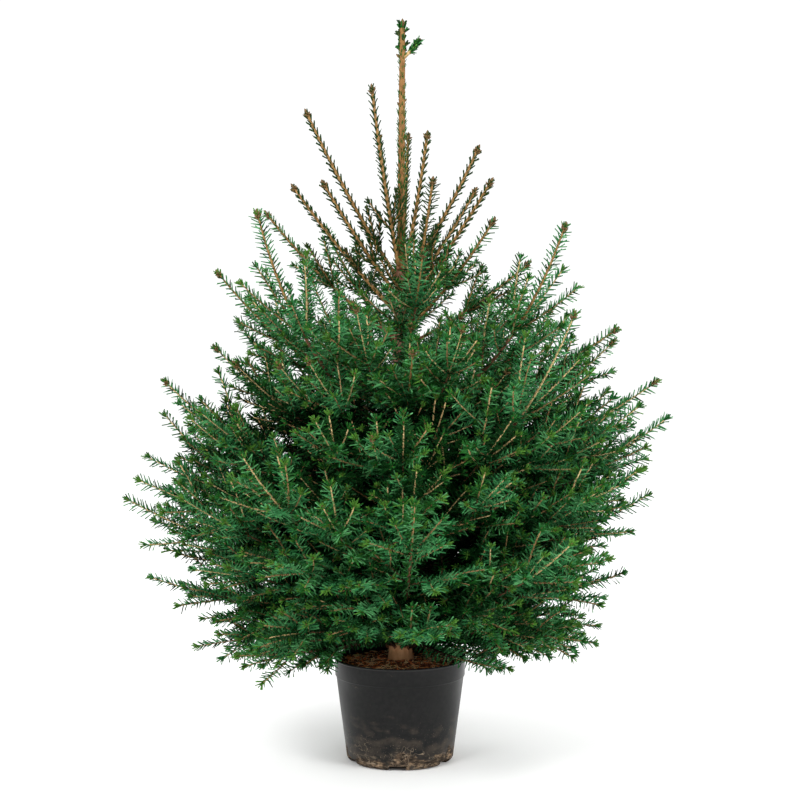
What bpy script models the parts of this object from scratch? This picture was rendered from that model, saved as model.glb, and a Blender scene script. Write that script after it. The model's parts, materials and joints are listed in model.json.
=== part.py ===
"""Potted spruce: a young conifer, 1.46 m tall, in a black nursery pot.

The origin is the middle of the pot's flat underside, +Z is up and -Y is the front.
A bearing is an angle round the trunk in degrees: 0 points to the front and 90 to +X.

Every bough follows one rule. Its axis is a bent line from the trunk to its tip. The
year nodes along the axis are counted back from the tip, and each carries a pair of
side shoots. Each shoot is a slim three-sided core with a row of needle teeth on two of
its edges. The shoots of a bough are joined into one mass of foliage, and the strongest
boughs carry their mass at the end of a bare tapering limb.
"""
import math
import random

import bmesh
import bpy
import numpy as np
from mathutils.bvhtree import BVHTree

UP = np.array((0.0, 0.0, 1.0))
CLEAR = 0.0003          # gap kept between neighbouring solids
SEED = 41

# Points along the axes of boughs, of the stems in their foliage and of side shoots
BOUGH_POINTS = 33
STEM_POINTS = 25
SIDE_POINTS = 13
SPUR_POINTS = 9

# Pot
RIM_RADIUS = 0.131
POT_HEIGHT = 0.204
LIP_HEIGHT = 0.004
COLLAR_BOTTOM = 0.168
COLLAR_RADIUS = 0.1287
COLLAR_STEP = 0.002
FOOT_RADIUS = 0.0945
CORNER_RADIUS = 0.1062
CORNER_HEIGHT = 0.010
WALL = 0.0024
MOUTH_RADIUS = 0.1268
FLOOR = 0.0032
LEDGE_RADIUS = 0.079
LEDGE_HEIGHT = 0.0100
CORNER_BEND = ((0.1015, 0.0028), (0.1050, 0.0066))    # rounds the corner of the foot
LIP_UNDERCUT = 0.0014
LIP_SHARE = 0.6          # share of the lip's height that stands proud
LIP_ROUND = 0.0006
LEDGE_SLOPE = 0.002
POT_SIDES = 32
NOTCHES = 6
NOTCH_BEARING = -3.0
NOTCH_WIDTH = 0.034
NOTCH_HEIGHT = 0.0065
NOTCH_DEPTH = 0.024

# Compost
COMPOST_EDGE = 0.191
COMPOST_SHOULDER = (0.075, 0.1965)
COMPOST_CROWN = (0.030, 0.1997)

# Trunk and leader: height and radius pairs from the flat cut to the tip
TRUNK_FOOT = 0.200
TREE_TOP = 1.460
TRUNK_LEAN = 0.005
TRUNK_SIDES = 12
FLARE = 0.09
FLARE_HEIGHT = 0.035
FLARE_LOBES = 3
FLARE_TURN = 0.6
BUD_POINT = 0.0022
TRUNK_TAPER = (
    (0.200, 0.0262), (0.212, 0.0240), (0.235, 0.0222), (0.330, 0.0205), (0.450, 0.0190),
    (0.560, 0.0178), (0.690, 0.0162), (0.830, 0.0142), (0.900, 0.0126), (0.955, 0.0112),
    (0.985, 0.0074), (1.100, 0.0064), (1.250, 0.0056), (1.400, 0.0048), (1.438, 0.0046),
    (1.449, 0.0076),
)

# Short side shoot near the top of the leader
SPUR_HEIGHT = 1.381
SPUR_BEARING = 88.0
SPUR_LENGTH = 0.046
SPUR_RISE = 48.0
SPUR_BEND = 6.0
SPUR_BARE = 0.012
SPUR_TWIST = 80.0
SPUR_TOOTH = 0.011

# Boughs, whorl by whorl from the top: bend in degrees, spread of the side shoots and
# reach of their needle teeth, then for each bough its height on the trunk, bearing,
# reach from the trunk's axis, height of its tip, length of its last year's shoot and
# share that is bare limb
WHORLS = (
    (4.0, 0.42, 0.017, (
        (0.958, -80, 0.183, 1.270, 0.290, 0), (0.972, -27, 0.117, 1.308, 0.270, 0),
        (0.974, -150, 0.084, 1.236, 0.210, 0), (0.968, 40, 0.081, 1.225, 0.210, 0),
        (0.950, 85, 0.152, 1.203, 0.220, 0), (0.900, 74, 0.182, 1.137, 0.200, 0),
        (0.924, -68, 0.158, 1.132, 0.190, 0), (0.888, -97, 0.211, 1.131, 0.210, 0),
        (0.962, 172, 0.120, 1.240, 0.240, 0), (0.915, 125, 0.185, 1.130, 0.200, 0),
    )),
    (8.0, 0.80, 0.021, (
        (0.835, -88, 0.260, 1.077, 0.190, 0), (0.800, 13, 0.262, 1.124, 0.270, 0),
        (0.850, 52, 0.222, 1.057, 0.170, 0), (0.822, 103, 0.262, 0.982, 0.160, 0),
        (0.842, 162, 0.248, 1.045, 0.180, 0), (0.828, -142, 0.252, 1.058, 0.180, 0),
    )),
    (13.0, 1.00, 0.026, (
        (0.690, -96, 0.362, 0.962, 0.190, 0), (0.640, -42, 0.382, 1.063, 0.250, 0.30),
        (0.655, 48, 0.400, 1.041, 0.230, 0.30), (0.676, 88, 0.422, 0.851, 0.180, 0),
        (0.684, 140, 0.375, 0.940, 0.180, 0), (0.668, -150, 0.380, 0.955, 0.180, 0),
        (0.646, 4, 0.330, 0.815, 0.150, 0),
    )),
    (13.0, 1.00, 0.026, (
        (0.552, -80, 0.458, 0.752, 0.180, 0.26), (0.520, -7, 0.400, 0.668, 0.130, 0),
        (0.500, 40, 0.475, 0.882, 0.240, 0.30), (0.545, 80, 0.498, 0.752, 0.190, 0),
        (0.535, 141, 0.455, 0.770, 0.180, 0), (0.528, -144, 0.455, 0.760, 0.180, 0),
    )),
    (12.0, 1.00, 0.026, (
        (0.425, -103, 0.490, 0.676, 0.170, 0.26), (0.398, -33, 0.500, 0.638, 0.180, 0.30),
        (0.408, 4, 0.420, 0.615, 0.130, 0), (0.430, 85, 0.520, 0.679, 0.180, 0),
        (0.416, 128, 0.480, 0.650, 0.170, 0), (0.422, 178, 0.480, 0.640, 0.170, 0),
    )),
    (9.0, 1.00, 0.026, (
        (0.335, -86, 0.534, 0.520, 0.170, 0), (0.322, -17, 0.455, 0.552, 0.100, 0),
        (0.302, 40, 0.470, 0.476, 0.145, 0.30), (0.338, 95, 0.498, 0.520, 0.170, 0),
        (0.326, 150, 0.480, 0.500, 0.160, 0), (0.330, -140, 0.480, 0.510, 0.160, 0),
    )),
    (6.0, 0.90, 0.026, (
        (0.266, -90, 0.492, 0.360, 0.160, 0), (0.246, -56, 0.365, 0.246, 0.130, 0),
        (0.270, 3, 0.478, 0.560, 0.150, 0.30), (0.240, 43, 0.275, 0.222, 0.110, 0),
        (0.262, 88, 0.440, 0.372, 0.150, 0), (0.250, 138, 0.420, 0.330, 0.150, 0),
        (0.256, -162, 0.430, 0.340, 0.150, 0),
    )),
)
STRONG_BEND = 9.0       # further bend of a bough that has a bare limb
YEAR_STEP = 0.105       # between a bough's older year nodes
INNER_LIMIT = 0.065     # no side shoot starts nearer to the trunk than this
LIMB_MARGIN = 0.022     # nor nearer to the end of a bare limb than this
SIDE_ANGLE = 43.0
SIDE_BASE = 0.055
SIDE_GROWTH = 0.44
SIDE_LONGEST = 0.235
SIDE_SHORTEST = 0.055
SIDE_TURN = 0.45        # how far a side shoot bends towards its bough's direction
SIDE_LIFT = 0.16
LIFT_MEAN = 0.10        # rise of the side shoots where they leave, and its swing between
LIFT_SWING = 0.26       # the two hands, which changes over from year to year
NODE_JITTER = 0.006     # what chance adds to a side shoot's place, length, angle and rise
REACH_RANGE = (0.88, 1.06)
ANGLE_JITTER = 5.0
LIFT_JITTER = 0.06
UPRIGHT_YEARS = 1       # outer year nodes that have a third shoot on top

# Shoots with needle teeth
TOOTH_PITCH = 0.052
TOOTH_LEAN = 0.014
TOOTH_FADE = 0.45       # share of its reach that a tooth at the tip has lost
NOTCH_SHARE = 0.42      # width of a blade between its teeth, as a share of their reach
CORE_TIP = 0.0016
CORE_SINK = 0.6         # how far a core's flat underside lies below its axis
MAIN_CORE = 0.0040
SIDE_CORE = 0.0026
MAIN_TWIST = 42.0
SIDE_TWIST = 38.0
STEM_BARE = 0.040       # bare foot of a mass's own stem
STEM_BARE_SHARE = 0.25
LIMBED_STEM_BARE = 0.012    # the same at the end of a bare limb
SIDE_BARE = 0.018
SIDE_BARE_SHARE = 0.3
TRY_SHARES = (1.0, 0.8, 0.62)    # lengths and tilts that a side shoot tries for a free space
TRY_TILTS = (0.0, 0.2, -0.2)
TRY_SHORTEST = 0.9      # of the shortest side shoot
LIMB_SIDES = 6
LIMB_RINGS = 5
LIMB_FOOT = 0.0068
LIMB_END = 0.0046
MARGIN = 0.0007         # skin added to a side shoot while its space is tested
STEM_MARGIN = 0.00021   # the same for a stem
MERGE = 1e-6            # points of a turned shape nearer than this are one
WELD = 2e-7             # points of a mass nearer than this count as one
CREASE = 40.0           # a steeper edge of a smooth shape stays sharp

# Colours and roughness
PLASTIC = ((0.021, 0.022, 0.024), 0.42)
SOIL = ((0.070, 0.030, 0.016), 0.95)
TRUNK_BARK = ((0.165, 0.085, 0.050), 0.85)
LIMB_BARK = ((0.130, 0.066, 0.040), 0.85)
NEEDLES = ((0.020, 0.095, 0.048), 0.60)
YOUNG_NEEDLES = ((0.050, 0.130, 0.035), 0.60)


def clear_scene():
    """Remove every object that the file starts with."""
    for item in list(bpy.data.objects):
        bpy.data.objects.remove(item, do_unlink=True)


def unit(vector):
    return vector / np.linalg.norm(vector)


def outward(bearing):
    """Level unit vector at a bearing round the trunk."""
    angle = math.radians(bearing)
    return np.array((math.sin(angle), -math.cos(angle), 0.0))


def trunk_radius(height):
    heights, radii = zip(*TRUNK_TAPER)
    return float(np.interp(height, heights, radii))


def trunk_centre(height):
    share = (height - TRUNK_FOOT) / (TREE_TOP - TRUNK_FOOT)
    return np.array((TRUNK_LEAN * share ** 2, 0.0, height))


def bent_line(start, rise, bend, end, count):
    """Quadratic curve whose slope grows by twice the bend from start to end."""
    chord = np.linalg.norm(end - start)
    level = end - start
    level[2] = 0.0
    slope = rise - bend
    lead = math.cos(slope) * unit(level) + math.sin(slope) * UP
    control = start + lead * chord * 0.5 / math.cos(bend)
    t = np.linspace(0.0, 1.0, count)[:, None]
    return (1 - t) ** 2 * start + 2 * t * (1 - t) * control + t ** 2 * end


def arc_lengths(path):
    steps = np.linalg.norm(np.diff(path, axis=0), axis=1)
    return np.concatenate(((0.0,), np.cumsum(steps)))


def point_at(path, distance):
    """Point and direction of a path at a distance from its start."""
    lengths = arc_lengths(path)
    place = np.array([np.interp(distance, lengths, path[:, axis]) for axis in range(3)])
    index = int(np.clip(np.searchsorted(lengths, distance) - 1, 0, len(path) - 2))
    return place, unit(path[index + 1] - path[index])


def side_of(direction):
    """Level vector across a direction."""
    return unit(np.cross(UP, direction))


def bough_axis(attach, bearing, reach, tip, bend):
    out = outward(bearing)
    start = trunk_centre(attach) + out * (trunk_radius(attach - MAIN_CORE) + CLEAR)
    end = out * reach + UP * tip
    rise = math.atan2(tip - attach, reach - trunk_radius(attach))
    return bent_line(start, rise, math.radians(bend), end, BOUGH_POINTS)


def side_axis(place, direction, length, angle, hand, lift):
    """Axis of a side shoot: it leaves at an angle and bends towards its bough's direction."""
    across = side_of(direction) * hand
    if hand == 0:
        across = np.cross(direction, side_of(direction))
    leave = unit(math.cos(angle) * direction + math.sin(angle) * across + lift * UP)
    later = unit(leave + SIDE_TURN * direction + SIDE_LIFT * UP)
    t = np.linspace(0.0, 1.0, SIDE_POINTS)[:, None]
    return place + length * (t * leave + 0.5 * t ** 2 * (later - leave))


def year_nodes(length, shoot, limb):
    """Distances from the tip of the year nodes that carry side shoots."""
    nodes = []
    back = shoot
    while back < length - max(INNER_LIMIT, limb * length + LIMB_MARGIN):
        nodes.append(back)
        back += YEAR_STEP
    return nodes


def side_shoots(axis, shoot, limb, spread, chance):
    """Side shoots of a bough from its tip inwards: a pair at each year node, and one on top."""
    length = arc_lengths(axis)[-1]
    shoots = []
    for year, back in enumerate(year_nodes(length, shoot, limb)):
        for hand in (-1, 1, 0) if year < UPRIGHT_YEARS else (-1, 1):
            slip = chance.uniform(-NODE_JITTER, NODE_JITTER)
            place, direction = point_at(axis, length - back + slip)
            reach = min(SIDE_LONGEST, SIDE_BASE + SIDE_GROWTH * back) * spread
            reach = max(SIDE_SHORTEST, reach * chance.uniform(*REACH_RANGE))
            angle = math.radians(SIDE_ANGLE + chance.uniform(-ANGLE_JITTER, ANGLE_JITTER))
            lift = LIFT_MEAN + LIFT_SWING * hand * (-1) ** year
            lift += chance.uniform(-LIFT_JITTER, LIFT_JITTER)
            shoots.append((hand, place, direction, reach, angle, lift))
    return shoots


def fading(share):
    """Width of a blade at a share of its length, against its full width."""
    return 1.0 - TOOTH_FADE * share ** 3


def frames(path, distances, twist, level_start):
    """Place, direction and two cross vectors at each distance along a path."""
    result = []
    turn = math.radians(twist)
    for number, distance in enumerate(distances):
        place, direction = point_at(path, distance)
        if level_start and number == 0:
            direction = unit(direction * np.array((1.0, 1.0, 0.0)))
        across = side_of(direction)
        normal = np.cross(direction, across)
        blade = math.cos(turn) * across + math.sin(turn) * normal
        ridge = math.cos(turn) * normal - math.sin(turn) * across
        result.append((place, direction, blade, ridge))
    return result


def toothed_shoot(path, core, bare, twist, tooth, level_start=False, skin=0.0):
    """Vertices and faces of a shoot: a three-sided core with needle teeth along two edges.

    Each ring has its ridge first, then its right and its left edge.
    """
    length = arc_lengths(path)[-1]
    teeth = max(2, round((length - bare) / TOOTH_PITCH))
    stations = np.concatenate(((0.0,), np.linspace(bare, length, teeth + 1)[:-1]))
    rings = frames(path, stations, twist, level_start)
    verts = []
    faces = []
    for distance, (place, _, blade, ridge) in zip(stations, rings):
        size = core + (CORE_TIP - core) * distance / length + skin
        width = size
        if distance > bare:
            width += NOTCH_SHARE * tooth * fading(distance / length)
        verts += [place + ridge * size, place + blade * width - ridge * size * CORE_SINK,
                  place - blade * width - ridge * size * CORE_SINK]
    faces.append((0, 2, 1))
    faces += [(0, 1, 4, 3), (1, 2, 5, 4), (2, 0, 3, 5)]
    for number in range(1, len(stations)):
        ridge_here, right, left = 3 * number, 3 * number + 1, 3 * number + 2
        last = number == len(stations) - 1
        start = stations[number]
        end = length if last else stations[number + 1]
        middle, direction = point_at(path, min(end, 0.5 * (start + end) + TOOTH_LEAN))
        reach = tooth * fading(start / length) + 2 * skin
        _, _, blade, ridge = rings[number]
        low = middle - ridge * CORE_TIP
        right_tooth, left_tooth = len(verts), len(verts) + 1
        verts += [low + blade * reach, low - blade * reach]
        if last:
            point = len(verts)
            verts.append(path[-1] + direction * skin)
            faces += [(ridge_here, right, right_tooth), (ridge_here, right_tooth, point),
                      (ridge_here, left_tooth, left), (ridge_here, point, left_tooth),
                      (right, left, left_tooth), (right, left_tooth, point),
                      (right, point, right_tooth)]
        else:
            ridge_next, right_next, left_next = ridge_here + 3, right + 3, left + 3
            faces += [(ridge_here, right, right_tooth), (ridge_here, right_tooth, ridge_next),
                      (ridge_next, right_tooth, right_next), (ridge_here, left_tooth, left),
                      (ridge_here, ridge_next, left_tooth), (ridge_next, left_next, left_tooth),
                      (right, left, left_tooth), (right, left_tooth, left_next),
                      (right, left_next, right_next), (right, right_next, right_tooth)]
    return verts, faces


def add_mesh(name, verts, faces, collection=None):
    """New object from vertices and faces, with its faces pointing out."""
    mesh = bpy.data.meshes.new(name)
    mesh.from_pydata([tuple(map(float, vert)) for vert in verts], [], faces)
    shape = bmesh.new()
    shape.from_mesh(mesh)
    bmesh.ops.recalc_face_normals(shape, faces=shape.faces)
    shape.to_mesh(mesh)
    shape.free()
    item = bpy.data.objects.new(name, mesh)
    (collection or bpy.context.scene.collection).objects.link(item)
    return item


def finish(item, look, smooth=False):
    """Give an object its own material, of a colour and roughness, and its shading."""
    color, roughness = look
    material = bpy.data.materials.new(item.name)
    material.use_nodes = True
    shader = material.node_tree.nodes["Principled BSDF"]
    shader.inputs["Base Color"].default_value = (*color, 1.0)
    shader.inputs["Roughness"].default_value = roughness
    shader.inputs["Metallic"].default_value = 0.0
    item.data.materials.clear()
    item.data.materials.append(material)
    if smooth:
        item.data.shade_smooth()
        item.data.set_sharp_from_angle(angle=math.radians(CREASE))
    return item


def lathe(name, profile, sides):
    """Turn a profile of radius and height pairs round the Z axis into a closed solid."""
    shape = bmesh.new()
    verts = [shape.verts.new((radius, 0.0, height)) for radius, height in profile]
    edges = [shape.edges.new(pair) for pair in zip(verts, verts[1:])]
    bmesh.ops.spin(shape, geom=verts + edges, axis=(0, 0, 1), cent=(0, 0, 0),
                   angle=2 * math.pi, steps=sides, use_duplicate=False)
    bmesh.ops.remove_doubles(shape, verts=shape.verts, dist=MERGE)
    bmesh.ops.recalc_face_normals(shape, faces=shape.faces)
    mesh = bpy.data.meshes.new(name)
    shape.to_mesh(mesh)
    shape.free()
    item = bpy.data.objects.new(name, mesh)
    bpy.context.scene.collection.objects.link(item)
    return item


def pot_inside(inset):
    """Profile of the pot's inside from the floor's middle to the rim, moved in by an inset."""
    wall = WALL + inset
    return [(0.0, FLOOR + inset), (LEDGE_RADIUS - inset, FLOOR + inset),
            (LEDGE_RADIUS + LEDGE_SLOPE - inset, LEDGE_HEIGHT + inset),
            (CORNER_RADIUS - wall, LEDGE_HEIGHT + inset),
            (COLLAR_RADIUS - COLLAR_STEP - wall, COLLAR_BOTTOM),
            (MOUTH_RADIUS - inset, POT_HEIGHT)]


def make_pot():
    """Tapered pot with a stepped collar, a rolled lip and notches round its foot."""
    step = COLLAR_STEP / 2
    outside = [(0.0, 0.0), (FOOT_RADIUS, 0.0), *CORNER_BEND, (CORNER_RADIUS, CORNER_HEIGHT),
               (COLLAR_RADIUS - COLLAR_STEP, COLLAR_BOTTOM - step),
               (COLLAR_RADIUS, COLLAR_BOTTOM + step),
               (RIM_RADIUS - LIP_UNDERCUT, POT_HEIGHT - LIP_HEIGHT),
               (RIM_RADIUS, POT_HEIGHT - LIP_SHARE * LIP_HEIGHT),
               (RIM_RADIUS - LIP_ROUND, POT_HEIGHT)]
    pot = lathe("pot", outside + pot_inside(0.0)[::-1], POT_SIDES)
    cutters = bpy.data.collections.new("notch_cutters")
    bpy.context.scene.collection.children.link(cutters)
    for number in range(NOTCHES):
        bearing = math.radians(NOTCH_BEARING + 360.0 * number / NOTCHES)
        bpy.ops.mesh.primitive_cube_add(size=1.0)
        cutter = bpy.context.active_object
        cutter.name = f"notch_cutter_{number + 1}"
        cutter.scale = (NOTCH_WIDTH, 2 * NOTCH_DEPTH, 2 * NOTCH_HEIGHT)
        cutter.rotation_euler = (0.0, 0.0, bearing)
        cutter.location = (CORNER_RADIUS * math.sin(bearing), -CORNER_RADIUS * math.cos(bearing), 0.0)
        for owner in list(cutter.users_collection):
            owner.objects.unlink(cutter)
        cutters.objects.link(cutter)
    cut = pot.modifiers.new("notches", 'BOOLEAN')
    cut.operation = 'DIFFERENCE'
    cut.solver = 'EXACT'
    cut.operand_type = 'COLLECTION'
    cut.collection = cutters
    settle(pot)
    remove_collection(cutters)
    return finish(pot, PLASTIC, smooth=True)


def make_compost():
    """Compost that fills the pot and rises a little towards the trunk."""
    inside = pot_inside(CLEAR)
    collar, mouth = inside[-2:]
    edge = float(np.interp(COMPOST_EDGE, (collar[1], mouth[1]), (collar[0], mouth[0])))
    profile = inside[:-1] + [(edge, COMPOST_EDGE), COMPOST_SHOULDER,
                             COMPOST_CROWN, (0.0, COMPOST_CROWN[1])]
    return finish(lathe("compost", profile, POT_SIDES), SOIL)


def tube(name, centres, radii, sides, across, flare=None):
    """Closed tube through rings of given centres, radii and cross vectors."""
    verts = []
    for number, (centre, radius) in enumerate(zip(centres, radii)):
        first, second = across[number]
        for side in range(sides):
            angle = 2 * math.pi * side / sides
            swell = 1.0 if flare is None else flare(number, angle)
            verts.append(centre + radius * swell * (math.cos(angle) * first + math.sin(angle) * second))
    faces = []
    for ring in range(len(centres) - 1):
        for side in range(sides):
            here, after = ring * sides + side, ring * sides + (side + 1) % sides
            faces.append((here, after, after + sides, here + sides))
    last = (len(centres) - 1) * sides
    faces.append(tuple(range(sides))[::-1])
    faces.append(tuple(range(last, last + sides)))
    return add_mesh(name, verts, faces)


def make_trunk():
    """Trunk and leader in one: a flat cut, a root flare, the taper and the end bud."""
    heights = [height for height, _ in TRUNK_TAPER] + [TREE_TOP]
    radii = [radius for _, radius in TRUNK_TAPER] + [BUD_POINT]
    centres = [trunk_centre(height) for height in heights]
    level = (np.array((1.0, 0.0, 0.0)), np.array((0.0, 1.0, 0.0)))

    def flare(number, angle):
        fade = max(0.0, 1.0 - (heights[number] - TRUNK_FOOT) / FLARE_HEIGHT)
        return 1.0 + FLARE * fade * math.cos(FLARE_LOBES * angle + FLARE_TURN)

    trunk = tube("trunk", centres, radii, TRUNK_SIDES, [level] * len(heights), flare)
    return finish(trunk, TRUNK_BARK, smooth=True)


def make_limb(name, axis, share):
    """Bare tapering limb from the trunk along the inner share of a bough's axis."""
    length = arc_lengths(axis)[-1]
    distances = np.linspace(0.0, share * length, LIMB_RINGS)
    rings = frames(axis, distances, 0.0, True)
    radii = np.linspace(LIMB_FOOT, LIMB_END, LIMB_RINGS)
    limb = tube(name, [ring[0] for ring in rings], radii, LIMB_SIDES,
                [(ring[2], ring[3]) for ring in rings])
    return finish(limb, LIMB_BARK, smooth=True)


def settle(item):
    """Apply an object's modifiers to its mesh."""
    evaluated = item.evaluated_get(bpy.context.evaluated_depsgraph_get())
    mesh = bpy.data.meshes.new_from_object(evaluated)
    item.modifiers.clear()
    item.data = mesh


def remove_collection(collection):
    for item in list(collection.objects):
        bpy.data.objects.remove(item, do_unlink=True)
    bpy.data.collections.remove(collection)


def keep_largest_body(item):
    """Drop loose scraps and sealed hollows, which are the smaller bodies of a mesh."""
    shape = bmesh.new()
    shape.from_mesh(item.data)
    seen = set()
    bodies = []
    for face in shape.faces:
        if face in seen:
            continue
        body = []
        stack = [face]
        seen.add(face)
        while stack:
            current = stack.pop()
            body.append(current)
            for edge in current.edges:
                for other in edge.link_faces:
                    if other not in seen:
                        seen.add(other)
                        stack.append(other)
        bodies.append(body)
    bodies.sort(key=len)
    for body in bodies[:-1]:
        bmesh.ops.delete(shape, geom=body, context='FACES')
    shape.to_mesh(item.data)
    shape.free()


class Space:
    """The space that the solids fill, kept as one search tree for each shape."""

    def __init__(self):
        self.shapes = []

    def add(self, owner, verts, faces):
        points = np.array(verts)
        tree = BVHTree.FromPolygons([tuple(vert) for vert in points], faces)
        self.shapes.append((owner, points.min(axis=0), points.max(axis=0), tree))

    def add_object(self, owner, item):
        verts = [item.matrix_world @ vert.co for vert in item.data.vertices]
        faces = [tuple(face.vertices) for face in item.data.polygons]
        self.add(owner, [np.array(vert) for vert in verts], faces)

    def is_free(self, owner, verts, faces):
        points = np.array(verts)
        low, high = points.min(axis=0), points.max(axis=0)
        tree = BVHTree.FromPolygons([tuple(vert) for vert in points], faces)
        for other, other_low, other_high, other_tree in self.shapes:
            apart = other == owner or (other_low > high).any() or (other_high < low).any()
            if not apart and tree.overlap(other_tree):
                return False
        return True


def plan_boughs():
    """Names, axes and side shoots of all the boughs."""
    boughs = []
    for whorl, (bend, spread, tooth, rows) in enumerate(WHORLS, start=1):
        for number, (attach, bearing, reach, tip, shoot, limb) in enumerate(rows, start=1):
            chance = random.Random(SEED * 1000 + whorl * 100 + number)
            turn = bend + (STRONG_BEND if limb else 0.0)
            axis = bough_axis(attach, bearing, reach, tip, turn)
            boughs.append({
                "label": f"{whorl}_{number}", "axis": axis, "limb": limb,
                "sides": side_shoots(axis, shoot, limb, spread, chance),
                "twist": MAIN_TWIST * (-1) ** number, "tooth": tooth,
            })
    return boughs


def foliage_axis(bough):
    """The part of a bough's axis that the foliage's own stem follows."""
    axis = bough["axis"]
    length = arc_lengths(axis)[-1]
    if not bough["limb"]:
        return axis, length
    start = bough["limb"] * length + CLEAR
    places = [point_at(axis, distance)[0] for distance in np.linspace(start, length, STEM_POINTS)]
    return np.array(places), length - start


def place_side_shoot(space, bough, side):
    """Find room for one side shoot: its full length first, then shorter or tilted."""
    hand, place, direction, reach, angle, lift = side
    for share in TRY_SHARES:
        for tilt in TRY_TILTS:
            if reach * share < SIDE_SHORTEST * TRY_SHORTEST:
                continue
            axis = side_axis(place, direction, reach * share, angle, hand, lift + tilt)
            bare = min(SIDE_BARE, SIDE_BARE_SHARE * reach * share)
            twist = SIDE_TWIST * (hand or 1)
            trial = toothed_shoot(axis, SIDE_CORE, bare, twist, bough["tooth"], skin=MARGIN)
            if space.is_free(bough["label"], *trial):
                space.add(bough["label"], *trial)
                return toothed_shoot(axis, SIDE_CORE, bare, twist, bough["tooth"])
    return None


def is_sound(mesh):
    """True where every edge joins two faces, also once the closest points are merged."""
    shape = bmesh.new()
    shape.from_mesh(mesh)
    bmesh.ops.remove_doubles(shape, verts=shape.verts, dist=WELD)
    sound = all(len(edge.link_faces) == 2 for edge in shape.edges)
    shape.free()
    return sound


def join_mass(bough, stem, sides):
    """Fuse a bough's side shoots to its stem with one union."""
    name = f"foliage_{bough['label']}"
    mass = add_mesh(name, *stem)
    parts = bpy.data.collections.new(f"shoots_{bough['label']}")
    bpy.context.scene.collection.children.link(parts)
    for number, shape in enumerate(sides, start=1):
        add_mesh(f"{name}_side_{number}", *shape, collection=parts)
    bare_stem = mass.data
    for solver in ('EXACT', 'MANIFOLD'):
        mass.data = bare_stem
        union = mass.modifiers.new("side shoots", 'BOOLEAN')
        union.operation = 'UNION'
        union.solver = solver
        union.operand_type = 'COLLECTION'
        union.collection = parts
        settle(mass)
        keep_largest_body(mass)
        if is_sound(mass.data):
            break
        print("union repeated:", name, solver)
    remove_collection(parts)
    return finish(mass, NEEDLES)


def make_crown(space):
    """All the limbs and masses of foliage."""
    boughs = plan_boughs()
    for bough in boughs:
        path, length = foliage_axis(bough)
        bare = LIMBED_STEM_BARE if bough["limb"] else min(STEM_BARE, STEM_BARE_SHARE * length)
        if bough["limb"]:
            limb = make_limb(f"bough_{bough['label']}", bough["axis"], bough["limb"])
            space.add_object(limb.name, limb)
        level = not bough["limb"]
        shape = (path, MAIN_CORE, bare, bough["twist"], bough["tooth"], level)
        bough["stem"] = toothed_shoot(*shape)
        trial = toothed_shoot(*shape, skin=STEM_MARGIN)
        if not space.is_free(bough["label"], *trial):
            print("stem meets another solid:", bough["label"])
        space.add(bough["label"], *trial)
        bough["shapes"] = []
    depth = max(len(bough["sides"]) for bough in boughs)
    for turn in range(depth):
        for bough in boughs:
            if turn < len(bough["sides"]):
                shape = place_side_shoot(space, bough, bough["sides"][turn])
                if shape:
                    bough["shapes"].append(shape)
    for bough in boughs:
        join_mass(bough, bough["stem"], bough["shapes"])


def make_spur(space):
    """Short toothed side shoot below the leader's tip."""
    out = outward(SPUR_BEARING)
    start = trunk_centre(SPUR_HEIGHT) + out * (trunk_radius(SPUR_HEIGHT) + CLEAR)
    rise = math.radians(SPUR_RISE)
    end = start + SPUR_LENGTH * (math.cos(rise) * out + math.sin(rise) * UP)
    path = bent_line(start, rise, math.radians(SPUR_BEND), end, SPUR_POINTS)
    shape = toothed_shoot(path, SIDE_CORE, SPUR_BARE, SPUR_TWIST, SPUR_TOOTH, True)
    space.add("spur", *shape)
    return finish(add_mesh("leader_spur", *shape), YOUNG_NEEDLES)


def main():
    clear_scene()
    space = Space()
    space.add_object("pot", make_pot())
    space.add_object("compost", make_compost())
    space.add_object("trunk", make_trunk())
    make_spur(space)
    make_crown(space)


main()
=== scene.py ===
"""Looks of the potted spruce: bark, twigs, buds, needles, compost and pot.

The crown follows the same rule as the solids, carried on to finer twigs. Every bough is
a bent line from the trunk to its tip, with side shoots at its year nodes. Those shoots
carry finer ones by the same rule at a smaller size. Every shoot is dressed with needles,
which are parted on its underside, and ends in a bud.

A bearing is an angle round the trunk in degrees: 0 points to the front and 90 to +X.
"""
import json
import math
import random
from dataclasses import dataclass

import bmesh
import bpy
import numpy as np
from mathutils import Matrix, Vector, noise

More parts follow.
